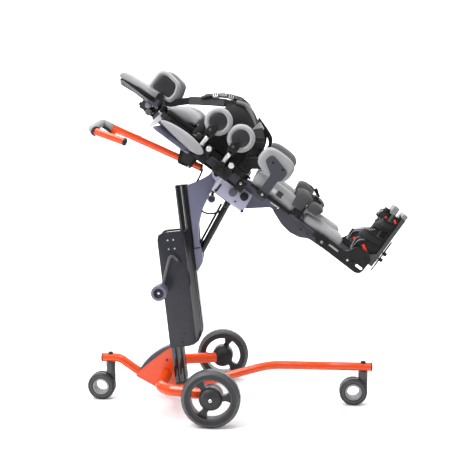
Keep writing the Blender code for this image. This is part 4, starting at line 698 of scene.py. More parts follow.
def shield(name, rule, across_steps, along_steps, thick, at, made, body, takes):
    """A padded sheet: a grid shaped by a rule of (along, across), given a thickness and a rounded edge."""
    bm = bmesh.new()
    grid = []
    for i in range(along_steps + 1):
        row = []
        for j in range(across_steps + 1):
            row.append(bm.verts.new(rule(2 * i / along_steps - 1, 2 * j / across_steps - 1)))
        grid.append(row)
    for low, high in zip(grid, grid[1:]):
        for j in range(across_steps):
            bm.faces.new((low[j], low[j + 1], high[j + 1], high[j]))
    bmesh.ops.recalc_face_normals(bm, faces=bm.faces)
    if sum(face.normal.z for face in bm.faces) < 0:
        bmesh.ops.reverse_faces(bm, faces=bm.faces)
    bm.normal_update()
    upper = {}
    for vert in list(bm.verts):
        upper[vert] = bm.verts.new(vert.co + vert.normal * thick)
    for face in list(bm.faces):
        bm.faces.new([upper[v] for v in face.verts])
        face.normal_flip()
    for edge in [e for e in bm.edges if len(e.link_faces) == 1 and e.verts[0] in upper]:
        a, b = edge.verts
        bm.faces.new((a, b, upper[b], upper[a]))
    obj = piece(name, bm, at, made, body, soften=2)
    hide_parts(takes)


# The CAD nodes' finishes.

FINISHES = (
    (ORANGE, "rear_leg_tube front_leg_tube axle_tube mast_gusset push_handle"),
    (BLACK_COAT, "rear_mast front_mast strut_cylinder trunk_rail_near trunk_rail_far strut_rod"),
    (BLACK_GLOSS, "housing_near_cover housing_far_cover"),
    (BLACK_MOULD, "back_shell release_lever sandal_near sandal_far foot_bracket_near foot_bracket_far"),
    (SLATE_DARK, "head_bracket hip_bracket_near hip_bracket_far leg_beam_near leg_beam_far"),
    (PLATE_GREY, "footplate_near footplate_far"),
    (SLATE, "spine handle_bracket crank_grip"),
    (HORN_PAINT, "horn_bracket"),
    (LILAC, "tilt_head"),
    (RUBBER, "wheel_near wheel_far rear_caster_wheel_near rear_caster_wheel_far "
             "front_caster_wheel_near front_caster_wheel_far"),
    (CASTER_GREY, "rear_caster_fork front_caster_fork"),
    (STEEL, "lead_screw"),
    (MID_SHELL, "crank_arm"),
)


def dress_nodes():
    for made, names in FINISHES:
        for name in names.split():
            for holder in nodes[name].material_slots:
                holder.material = made


# Base and mast.

def base_details():
    tube, overhang, trail, caster_z = 0.0155, 0.029, 0.034, 0.05
    for word, x, z, way in (("rear", -0.395, 0.156, -1), ("front", 0.53, 0.141, 1)):
        end = facing(BASE, (x + way * overhang, 0.0, z), (way, 0, 0))
        turned(f"{word}_end_cap",
               [(tube * 0.8, -0.004), (tube + 0.0009, 0.0003), (tube + 0.0009, 0.002), (tube, 0.0036),
                (tube * 0.7, 0.0042), (tube * 0.1, 0.0044)], end, BLACK_MOULD, "base")
        turned(f"{word}_stem_bolt",
               [(0.0095, -0.002), (0.0095, 0.003), (0.0075, 0.0062), (0.004, 0.0075), (0.0005, 0.0078)],
               facing(BASE, (x, 0.0, z + tube - 0.0006), (0, 0, 1)), BLACK_COAT, "base", 16)
        collar = facing(BASE, (x, 0.0, z - tube - 0.0135), (0, 0, 1))
        turned(f"{word}_stem_collar",
               [(0.015, -0.006), (0.0172, -0.005), (0.0172, 0.01), (0.016, 0.0122), (0.015, 0.0122)], collar,
               CASTER_GREY, f"{word}_caster", 28, ring=True)
        for side_word, side in SIDES:
            face = facing(BASE, (x - trail, side * 0.0212, caster_z), (0, side, 0))
            turned(f"{word}_hub_ring_{side_word}",
                   [(0.0239, -0.004), (0.0298, -0.001), (0.0298, 0.001), (0.0288, 0.0018), (0.0262, 0.0006),
                    (0.025, 0.0014), (0.0239, 0.0006)], face, HUB_GREY, f"{word}_caster", 40, ring=True)
            rim = facing(BASE, (x - trail, side * 0.0208, caster_z), (0, side, 0))
            turned(f"{word}_tyre_lip_{side_word}",
                   [(0.0335, -0.001), (0.0345, 0.0012), (0.0405, 0.0012), (0.0418, -0.001)], rim, TYRE_BAND,
                   f"{word}_caster_wheel_{side_word}", 40, ring=True)
    half, hub = 0.0225, 0.04
    for word, side in SIDES:
        centre = facing(BASE, (0.0, side * WHEEL_Y, AXLE_Z), (0, side, 0))
        body = f"wheel_{word}"
        turned(f"hub_dome_{word}",
               [(hub * 0.985, half * 0.3), (hub * 0.985, half * 0.46), (hub * 0.92, half * 0.7),
                (hub * 0.78, half * 0.93), (hub * 0.58, half * 1.1), (hub * 0.34, half * 1.2),
                (hub * 0.1, half * 1.235)], centre, RUBBER, body, 40)
        # A fixed bell covers the tube's end inside the wheel.
        bell = facing(BASE, (0.0, 0.0, AXLE_Z), (0, side, 0))
        turned(f"axle_bell_{word}",
               [(0.0402, 0.2568), (0.0406, 0.25), (0.0392, 0.238), (0.035, 0.226), (0.028, 0.2155),
                (0.018, 0.208), (0.008, 0.2045), (0.0006, 0.2038)], bell, BLACK_KNOB, "base", 40)
        turned(f"hub_cap_{word}",
               [(0.0062, half * 1.15), (0.0062, half * 1.27), (0.0052, half * 1.32), (0.0036, half * 1.32),
                (0.003, half * 1.24), (0.0003, half * 1.22)], centre, STEEL, body, 20)
        for k, way in (("outer", 1), ("inner", -1)):
            shoulder = [(0.0874, half * 0.99), (0.088, half * 1.03), (0.0925, half * 0.88),
                        (0.0968, half * 0.66), (0.099, half * 0.5), (0.0975, half * 0.44)]
            turned(f"tyre_band_{word}_{k}", [(r, way * h) for r, h in shoulder], centre, TYRE_BAND, body, 56,
                   ring=True)
        turned(f"rim_line_{word}",
               [(0.069, half * 0.84), (0.07, half * 0.93), (0.073, half * 0.95), (0.0742, half * 0.88)],
               centre, TYRE_BAND, body, 56, ring=True)
    plug = facing(BASE, (-0.1833, -0.0172, 0.1555), (0, -1, 0))
    turned("gusset_plug", [(0.0042, -0.001), (0.0042, 0.0008), (0.0032, 0.0014), (0.0004, 0.0015)], plug,
           BLACK_MOULD, "base", 14)
    # A moulded trim rides on the gusset's curved crest, thickest in its middle.
    crest = ((-0.283, 0.0, 0.1175), (-0.235, 0.0, 0.176), (-0.169, 0.0, 0.2085))
    foot, bow, top = (Vector(point) for point in crest)
    section = ((-0.0184, -1.0), (-0.0188, 0.2), (-0.0182, 0.75), (-0.009, 0.92), (0.0, 0.96), (0.009, 0.92),
               (0.0182, 0.75), (0.0188, 0.2), (0.0184, -1.0))
    rings = []
    for k in range(17):
        t = k / 16
        place = (1 - t) ** 2 * foot + 2 * t * (1 - t) * bow + t * t * top
        along = ((1 - t) * (bow - foot) + t * (top - bow)).normalized()
        out = Vector((-along.z, 0.0, along.x))
        thick = 0.0022 + 0.0058 * (1 - (2 * t - 1) ** 2)
        rings.append([place + out * thick * h + Vector((0.0, y, 0.0)) for y, h in section])
    bm = bmesh.new()
    loft(bm, rings)
    piece("gusset_trim", bm, BASE, SLATE_DARK, "base", crisp=50)


def fluted(name, centre, low, high, body):
    """The rounded flutes of a mast's two flanks."""
    for word, side in SIDES:
        outer = []
        for k in range(25):
            t = k / 24
            lobe = abs(math.sin(2 * math.pi * t)) ** 0.9
            outer.append((centre + (2 * t - 1) * MAST_HALF, side * (0.0248 + 0.0036 * lobe)))
        section = outer + [(centre + MAST_HALF, side * 0.024), (centre - MAST_HALF, side * 0.024)]
        bm = bmesh.new()
        loft(bm, [[(x, y, z) for x, y in section] for z in (low, high)])
        piece(f"{name}_{word}", bm, MAST, MAST_BLACK, body, crisp=50)


def mast_details():
    cover_face, proud = -0.0428, 0.0026
    places = ((-0.175, 0.602), (-0.155, 0.604), (-0.171, 0.571), (-0.15, 0.573), (-0.121, 0.294),
              (-0.116, 0.263), (-0.122, 0.244), (-0.122, 0.231))
    for k, (x, z) in enumerate(places):
        radius = 0.0026 if k > 5 else 0.0036
        screw(f"housing_screw_{k}", BASE, (x, cover_face - proud, z), (0, -1, 0), radius,
              STEEL if k < 5 else BLACK_COAT, "base", 0.0016)
    # The panel and the dark guide cover beside it, each crowned so that the gloss runs over it.
    for word, side in SIDES:
        panel = [(-0.0217, 0.145, 0.006), (0.045, 0.145, 0.012), (0.0735, 0.154, 0.004),
                 (0.0735, 0.5647, 0.004), (-0.0217, 0.5647, 0.034)]
        guide = [(0.0752, 0.155, 0.002), (0.0865, 0.164, 0.006), (0.099, 0.199, 0.02), (0.099, 0.5625, 0.01),
                 (0.0752, 0.5625, 0.003)]
        slab(f"housing_panel_{word}", panel, side * 0.0424, side * 0.0448, MAST, BLACK_GLOSS, "base",
             edge=0.0014, steps=16, dome=side * 0.0036)
        slab(f"housing_guide_{word}", guide, side * 0.0426, side * 0.0446, MAST, MAST_BLACK, "base",
             edge=0.0018, steps=14, dome=side * 0.003)
    fluted("front_flute", FRONT_MAST, 0.3, 0.7216, "lift")
    fluted("rear_flute", 0.0, 0.01, 0.1428, "base")
    cap = rectangle(FRONT_MAST - MAST_HALF, FRONT_MAST + MAST_HALF, -0.0262, 0.0262, 0.006)
    slab("mast_cap", cap, 0.7219, 0.7254, MAST, SHELL_GREY, "lift", axis="Z", edge=0.0012)
    for word, side in SIDES:
        for name, outline in (("joint", rectangle(0.1042, 0.1275, 0.4925, 0.4972, 0.001)),
                              ("edge", rectangle(0.1042, 0.1066, 0.5, 0.718, 0.001))):
            slab(f"horn_{name}_{word}", outline, side * 0.0279, side * 0.0289, MAST, BLACK_MOULD, "lift",
                 edge=0.0003)
    hub = facing(MAST, (0.048, -0.0588, 0.456), (0, -1, 0))
    turned("crank_hub_cap", [(0.0118, -0.004), (0.0118, 0.001), (0.01, 0.0024), (0.0004, 0.0028)], hub,
           BLACK_COAT, "crank", 18)
    face = facing(MAST, (-0.0215, -0.156, 0.3675), (0, -1, 0))
    turned("grip_ring",
           [(0.01, -0.006), (0.0165, -0.003), (0.0178, 0.0004), (0.0168, 0.0018), (0.014, 0.0022),
            (0.011, 0.0004)], face, BLACK_MOULD, "crank_grip", 32, ring=True)
    turned("grip_well", [(0.0112, -0.0082), (0.0112, -0.0068), (0.006, -0.0062), (0.0003, -0.006)], face,
           CASTER_GREY, "crank_grip", 28)
    turned("grip_screw",
           [(0.0048, -0.0066), (0.0048, -0.0036), (0.0038, -0.0026), (0.002, -0.0026), (0.0016, -0.004),
            (0.0002, -0.0042)], face, STEEL, "crank_grip", 16)


# Tilting frame and push handle.

def corner_arc(corner, first, second, radius, low, high, count):
    """Points on the fillet of a square corner, from the first leg towards the second."""
    centre = corner + (first + second) * radius
    turns = [math.radians(low + (high - low) * k / (count - 1)) for k in range(count)]
    return [centre - (second * math.cos(turn) + first * math.sin(turn)) * radius for turn in turns]


def handle_details():
    middle = Vector((-0.4365, 0.0, -0.1046))
    bend = 0.034
    bars = {}
    for word, side in SIDES:
        corner, front = Vector((-0.4322, side * 0.15, -0.1275)), Vector((-0.316, side * 0.15, -0.091))
        grip, bar = (front - corner).normalized(), (middle - corner).normalized()
        ring = corner_arc(corner, grip, bar, bend, 26, 36, 4)
        wire(f"grip_collar_{word}", ring, 0.0178, TILT, BLACK_MOULD, "tilt", 3, 20)
        straight = [corner + bar * d for d in (0.05, 0.078, 0.106)]
        bars[side] = corner_arc(corner, grip, bar, bend, 37, 90, 6) + straight
        turned(f"grip_cap_{word}",
               [(0.0125, -0.004), (0.0141, -0.001), (0.0141, 0.004), (0.0125, 0.0082), (0.008, 0.0104),
                (0.0005, 0.011)], facing(TILT, front, grip), BLACK_MOULD, "tilt", 20)
    sleeve = bars[NEAR] + [middle + Vector((0.0, 0.0, -0.001))] + bars[FAR][::-1]
    wire("foam_sleeve", sleeve, lambda t: 0.0152 - 0.0017 * max(0.0, 1 - abs(t - 0.5) * 4), TILT, FOAM,
         "tilt", 4, 24)
    slope = 0.084 / 0.3785
    along = Vector((1.0, 0.0, slope)).normalized()
    wire("foam_neck", [middle + along * d for d in (0.0, 0.014, 0.03, 0.043)],
         lambda t: 0.0152 - 0.0016 * max(0.0, t - 0.8) / 0.2, TILT, FOAM, "tilt", 4, 24)
    # The release lever's grip lies along the near side of the sleeve.
    wire("lever_grip",
         [(-0.385, -0.0215, -0.113), (-0.4, -0.0225, -0.1085), (-0.415, -0.0225, -0.1085),
          (-0.431, -0.0215, -0.1125)], lambda t: 0.0052 - 0.0022 * abs(2 * t - 1) ** 5, TILT, BLACK_MOULD,
         "release_lever", 5, 12)

    def under(u):
        return -0.1046 + (u + 0.4365) * slope - 0.018

    # Two bolted cheeks over the clamp, and the end plug of the centre tube.
    for word, side in SIDES:
        a, b = side * 0.0221, side * 0.0285
        slab(f"clamp_cheek_{word}",
             [(-0.166, 0.014, 0.004), (-0.136, under(-0.136) + 0.001, 0.006),
              (-0.0865, under(-0.0865) + 0.001, 0.006), (-0.0865, 0.015, 0.004)], a, b, TILT, BLACK_MOULD,
             "tilt")
        slab(f"clamp_rib_{word}",
             [(-0.146, 0.006, 0.002), (-0.128, under(-0.128) + 0.012, 0.003),
              (-0.096, under(-0.096) + 0.012, 0.003), (-0.096, 0.006, 0.002)], b, b + side * 0.0022, TILT,
             SHELL_GREY, "tilt", edge=0.0008)
        for k, u in enumerate((-0.126, -0.096)):
            screw(f"clamp_bolt_{word}_{k}", TILT, (u, b, under(u) + 0.006), (0, side, 0), 0.0036,
                  STEEL if k else BLACK_COAT, "tilt", 0.003)
    end = facing(TILT, (-0.058, 0.0, -0.0206), along)
    turned("centre_tube_cap",
           [(0.012, -0.003), (0.0136, 0.0002), (0.013, 0.003), (0.009, 0.0045), (0.0005, 0.005)], end,
           BLACK_MOULD, "tilt", 20)


def tilt_details():
    knob("strut_knob", TILT, (0.0385, -0.03, -0.082), (0, -1, 0), 0.014, 0.024, SLATE, "tilt", 0)
    turned("strut_knob_face", [(0.0095, -0.001), (0.0095, 0.0012), (0.006, 0.0016), (0.0004, 0.001)],
           facing(TILT, (0.0385, -0.054, -0.082), (0, -1, 0)), SHELL_GREY, "tilt", 20)
    wire("strut_knob_stem", [(0.0385, -0.034, -0.082), (0.031, -0.04, -0.067), (0.024, -0.048, -0.052)],
         0.0056, TILT, BLACK_MOULD, "tilt", 4)
    for word, side, u, n, long, made, lobes in (
        ("a", NEAR, 0.0845, -0.016, 0.022, MID_SHELL, 0), ("b", NEAR, 0.125, -0.003, 0.026, BLACK_MOULD, 0),
        ("c", FAR, 0.105, -0.012, 0.022, BLACK_MOULD, 6),
    ):
        knob(f"index_knob_{word}", TILT, (u, side * 0.0542, n), (0, side, 0), 0.015, long, made, "tilt",
             lobes)
    for k, (u, n) in enumerate(((0.15, -0.05), (0.0, 0.0), (0.03, -0.047), (0.11, -0.038))):
        for word, side in SIDES:
            screw(f"cheek_bolt_{k}_{word}", TILT, (u, side * 0.0541, n), (0, side, 0),
                  (0.005, 0.0098, 0.003, 0.0034)[k], BLACK_COAT, "lift" if k == 1 else "tilt", 0.004)
    # The folded tilt head's long slot, its pale edge and its dark lip.
    for word, side in SIDES:
        a, b = side * 0.0538, side * 0.0546
        slab(f"cheek_slot_{word}", rectangle(0.031, 0.0375, -0.053, -0.018, 0.003), a, b,
             TILT, BLACK_COAT, "tilt", edge=0.0003)
        slab(f"cheek_frame_{word}", rectangle(0.0196, 0.0262, -0.055, 0.0, 0.001), a,
             side * 0.0556, TILT, PALE_PLASTIC, "tilt", edge=0.0004)
        block(f"cheek_lip_{word}", (0.0185, 0.0462, -0.0572), (0.153, 0.0556, -0.0556), TILT, SHELL_GREY,
              "tilt", 0.0006, side)
    # The gas strut's gaiter rides on its rod, and a control rod is clipped along its cylinder.
    foot, head = Vector((-0.065, 0.0, 0.5457)), Vector((0.0639, 0.0, 0.7852))
    rise = (head - foot).normalized()
    gaiter = wire("strut_gaiter", [BASE @ (head - rise * d) for d in (0.0095, 0.033, 0.056, 0.0796)],
                  lambda t: 0.0124 - 0.0008 * abs(2 * t - 1) ** 6, Matrix(), BLACK_COAT, "strut_rod", 4, 20)
    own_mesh(gaiter)
    back = Vector((-rise.z, 0.0, rise.x)) * 0.0178
    line = [foot + back + rise * d for d in (0.026, 0.08, 0.14, 0.2)]
    wire("control_rod", [BASE @ (p + Vector((0.0, -0.004, 0.0))) for p in line], 0.0042, Matrix(),
         BLACK_COAT, "strut_cylinder", 4, 10)
    level = Vector((0.0, 1.0, 0.0))
    for k, d in enumerate((0.045, 0.17)):
        here = Matrix((rise, level, rise.cross(level))).transposed().to_4x4()
        here.translation = foot + rise * d
        reach = back.dot(here.col[2].to_3d())
        low, high = sorted((reach * 0.68, reach * 1.22))
        block(f"rod_clip_{k}", (-0.006, -0.0085, low), (0.006, 0.0035, high), BASE @ here, BLACK_MOULD,
              "strut_cylinder", 0.0012)


def cable(name, points, at):
    """A thin control cable between two bodies that turn on each other."""
    path = smooth_path([at @ Vector(p) for p in points], 8)
    bm = bmesh.new()
    loft(bm, tube_rings(path, 0.0034, 8))
    obj = piece(name, bm, Matrix(), BLACK_WEB, None)
    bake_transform(obj)


def cables():
    run = [(-0.0535, 0.0, -0.0205), (-0.049, 0.0, -0.029), (-0.0455, 0.0, -0.042), (-0.0425, 0.0, -0.057),
           (-0.0405, 0.0, -0.073)]
    cable("release_cable", run, TILT)
    loop = [(0.142, 0.0, 0.6262), (0.156, 0.0, 0.615), (0.178, 0.0, 0.609), (0.196, 0.0, 0.611),
            (0.206, 0.0, 0.615)]
    cable("control_cable", loop, MAST)


# Head.

def head_details():
    rule = pad_rule((-0.0805, -0.068, 0.015), (0.1015, 0.068, 0.047), 0.01, 0.05)
    cushion("head_cushion", cage(rule, (-0.8, 0.72), EDGE_LOOPS, (0.35,)), HEAD, GREY_KNIT, "head", 0.015,
            0.0035, seams=(((0, 0, 1), 0.0285, 0.0012, 0.0022),), takes=("head_pad",))
    board = [(-0.068, -0.062, 0.028), (0.096, -0.062, 0.018), (0.096, 0.062, 0.018), (-0.068, 0.062, 0.028)]
    slab("head_board", board, 0.004, 0.0152, HEAD, BLACK_KNIT, "head", axis="Z", edge=0.003)
    # The ribbed tray under the head pad lies along the spine, so it tapers away from the tipped pad.
    tray = [(-0.464, -0.065, 0.024), (-0.332, -0.065, 0.012), (-0.332, 0.065, 0.012), (-0.464, 0.065, 0.024)]
    slab("head_tray", tray, 0.055, 0.0668, TILT, MID_SHELL, "head", axis="Z", edge=0.0025)
    for word, side in SIDES:
        ribs = [((u, 0.0644, 0.0572), (u + 0.004, 0.0662, 0.0648))
                for u in (-0.438 + 0.008 * k for k in range(12))]
        blocks(f"tray_ribs_{word}", ribs, TILT, HUB_GREY, "head", 0.0006, side)
    for word, side in SIDES:
        corners = [(-0.37, 0.095, 0.015), (-0.272, 0.103, 0.02), (-0.2655, 0.136, 0.04),
                   (-0.279, 0.179, 0.028), (-0.333, 0.186, 0.05), (-0.369, 0.183, 0.03)]
        middle = Vector((-0.318, 0.14))
        outline = [p - middle for p in rounded(corners, 6)]
        ring_pad(f"head_side_cushion_{word}", outline, (middle.x, side * 0.0845, middle.y), 0.027, side,
                 TILT, f"head_side_{word}", f"head_side_pad_{word}", shell=0.7)
        ears(f"head_knuckle_{word}", HEAD, 0.093, side, (0.1015, 0.012), 0.0055, 0.04, 0.0965, 0.1065,
             f"head_side_{word}")
        block(f"head_knuckle_web_{word}", (0.086, 0.0985, 0.02), (0.1, 0.105, 0.043), HEAD, BLACK_MOULD,
              f"head_side_{word}", 0.002, side)
    knob("head_knob_a", TILT, (-0.3352, -0.026, 0.048), (0, -1, 0), 0.0115, 0.018, HUB_GREY, "head", 6)
    knob("head_knob_b", TILT, (-0.3205, -0.026, 0.029), (0, -1, 0), 0.012, 0.02, MID_SHELL, "head", 6)
    blocks("head_mount",
           (((-0.34, -0.0262, 0.02), (-0.308, -0.0142, 0.056)),
            ((-0.334, -0.03, 0.044), (-0.296, -0.0142, 0.072)),
            ((-0.32, -0.04, 0.052), (-0.299, -0.0142, 0.088))), TILT, BLACK_MOULD, "head", 0.003)
    block("head_mount_face", (-0.315, -0.043, 0.057), (-0.303, -0.04, 0.072), TILT, STEEL, "head", 0.001)
    screw("head_mount_bolt", TILT, (-0.324, -0.03, 0.056), (0, -1, 0), 0.0052, STEEL, "head", 0.003)
    block("strap_bridge", (-0.292, -0.066, 0.056), (-0.265, 0.066, 0.085), TILT, BLACK_MOULD, "tilt", 0.005)
    block("head_socket", (-0.322, -0.021, 0.0205), (-0.3003, 0.021, 0.044), TILT, BLACK_MOULD, "tilt", 0.003)
    screw("head_socket_bolt", TILT, (-0.311, -0.0212, 0.0345), (0, -1, 0), 0.0055, STEEL, "tilt", 0.004)
    slab("head_tongue",
         [(-0.281, 0.06, 0.002), (-0.29, 0.01, 0.003), (-0.2862, -0.013, 0.001), (-0.284, -0.013, 0.001),
          (-0.2715, 0.01, 0.003), (-0.264, 0.06, 0.002)], -0.064, -0.06, TILT, PALE_PLASTIC, "tilt",
         edge=0.0008)


# Trunk.

def trunk_details():
    seat = 0.0683
    split = -0.097 - 0.0468 - 0.002
    plain = pad_rule((-0.274, -0.116, 0.082), (split, 0.116, 0.15), 0.018, 0.05)

    def shoulder(x, y, z):
        point = plain(x, y, z)
        if z > 0:
            point.z -= 0.046 * max(0.0, (-0.18 - point.x) / 0.094) ** 1.5 * z
        else:
            point.z += 0.012 * max(0.0, x)
        return point

    cushion("shoulder_cushion", cage(shoulder, (-0.84, -0.5, 0.0, 0.4, 0.8), EDGE_LOOPS, (0.35,)), TILT,
            GREY_KNIT, "tilt", 0.08, 0.004,
            seams=(((0, 1, 0), 0.0, 0.004, 0.006), ((0, 0, 1), 0.096, 0.0013, 0.003)),
            takes=("back_cushion",))
    base = [(-0.262, -0.112, 0.02), (split, -0.112, 0.012), (split, 0.112, 0.012), (-0.262, 0.112, 0.02)]
    slab("shoulder_base", base, seat, 0.086, TILT, BLACK_KNIT, "tilt", axis="Z", edge=0.004)
    back = pad_rule((split + 0.003, -0.114, seat), (0.089, 0.114, 0.118), 0.016, 0.04)
    cushion("back_cushion_cover", cage(back, EDGE_LOOPS, EDGE_LOOPS, (0.35,)), TILT, CHARCOAL_KNIT, "tilt",
            seat, 0.0035, seams=(((0, 0, 1), 0.09, 0.0012, 0.003), ((1, 0, 0), -0.03, 0.0025, 0.005)),
            takes=("back_cushion",))
    for word, side in SIDES:
        for level, place in (("upper", -0.097), ("lower", -0.003)):
            body = f"trunk_pad_{word}_{level}"
            outline = oval(0.0474, 0.0474, 2.0)
            ring_pad(f"trunk_cushion_{word}_{level}", outline, (place, side * 0.1655, 0.158), 0.028, side,
                     TILT, body, body)
            ears(f"trunk_knuckle_{word}_{level}", TILT, place, side, (0.184, 0.1025), 0.0945, 0.134, 0.177,
                 0.1905, body)
            a, b = sorted((side * 0.179, side * 0.193))
            blocks(f"trunk_hub_{word}_{level}",
                   (((place - 0.0165, a, 0.106), (place + 0.0165, b, 0.133)),
                    ((place - 0.0095, a, 0.125), (place + 0.0095, b - 0.002, 0.145))), TILT, BLACK_MOULD,
                   body, 0.004)
            turned(f"trunk_hub_bolt_{word}_{level}",
                   [(0.005, -0.002), (0.005, 0.0012), (0.0036, 0.0022), (0.0004, 0.0022)],
                   facing(TILT, (place - 0.004, side * 0.193, 0.121), (0, side, 0)), CASTER_GREY, body, 16)
            post = [(place, side * 0.15, n) for n in (0.054, 0.075, 0.0945)]
            wire(f"trunk_post_{word}_{level}", post, 0.0079, TILT, SILVER, "tilt", 3, 20)
            knob(f"trunk_knob_{word}_{level}", TILT, (place + 0.029, side * 0.1755, 0.066), (0, side, 0),
                 0.0092, 0.008, SILVER, "tilt", 0)
            a, b = sorted((side * 0.1285, side * 0.1665))
            blocks(f"trunk_clamp_{word}_{level}",
                   (((place - 0.017, a, 0.012), (place + 0.044, b, 0.046)),
                    ((place - 0.013, a, 0.043), (place + 0.013, b - 0.001, 0.058)),
                    ((place + 0.018, a, 0.043), (place + 0.041, b, 0.077))), TILT, BLACK_MOULD, "tilt",
                   0.004)
            knob(f"clamp_knob_{word}_{level}", TILT, (place + 0.012, side * 0.1662, 0.03), (0, side, 0),
                 0.0105, 0.016, BLACK_MOULD, "tilt", 5)
        block(f"rail_slider_{word}", (-0.133, 0.123, 0.064), (-0.113, 0.145, 0.086), TILT, SHELL_GREY,
              "tilt", 0.006, side)
        slab(f"rail_face_{word}", rectangle(-0.108, 0.088, 0.018, 0.044, 0.004), side * 0.1275,
             side * 0.13, TILT, SLATE_DARK, "tilt", edge=0.0008)


def between(table, x):
    """A value of a table of (x, value) pairs, on straight lines."""
    for (a, low), (b, high) in zip(table, table[1:]):
        if x <= b:
            return low + (high - low) * (x - a) / (b - a)
    return table[-1][1]


def arm_details():
    top = ((-1.0, 0.048), (-0.8, 0.0595), (-0.33, 0.066), (0.2, 0.069), (0.55, 0.065), (0.88, 0.056),
           (1.0, 0.046))
    low = ((-1.0, 0.043), (-0.8, 0.0375), (-0.33, 0.031), (0.2, 0.024), (0.55, 0.0215), (0.88, 0.027),
           (1.0, 0.038))
    for word, side in SIDES:
        def rule(x, y, z, side=side):
            a, b = between(low, x), between(top, x)
            thin = 0.8 + 0.2 * (1 - z * z)
            v = side * 0.188 + y * 0.018 * thin * (1 - 0.35 * x ** 6)
            return Vector((-0.1647 + x * 0.093, v, (a + b) / 2 + z * (b - a) / 2))

        cushion(f"arm_cushion_{word}",
                cage(rule, (-0.88, -0.6, -0.2, 0.2, 0.6, 0.88), (-0.6, 0.6), (-0.6, 0.6)), TILT, GREY_KNIT,
                "tilt", None, 0.0028, 0.0042, seams=(((0, 1, 0), side * 0.188, 0.001, 0.0022),),
                takes=(f"arm_pad_{word}",))


# Harness.

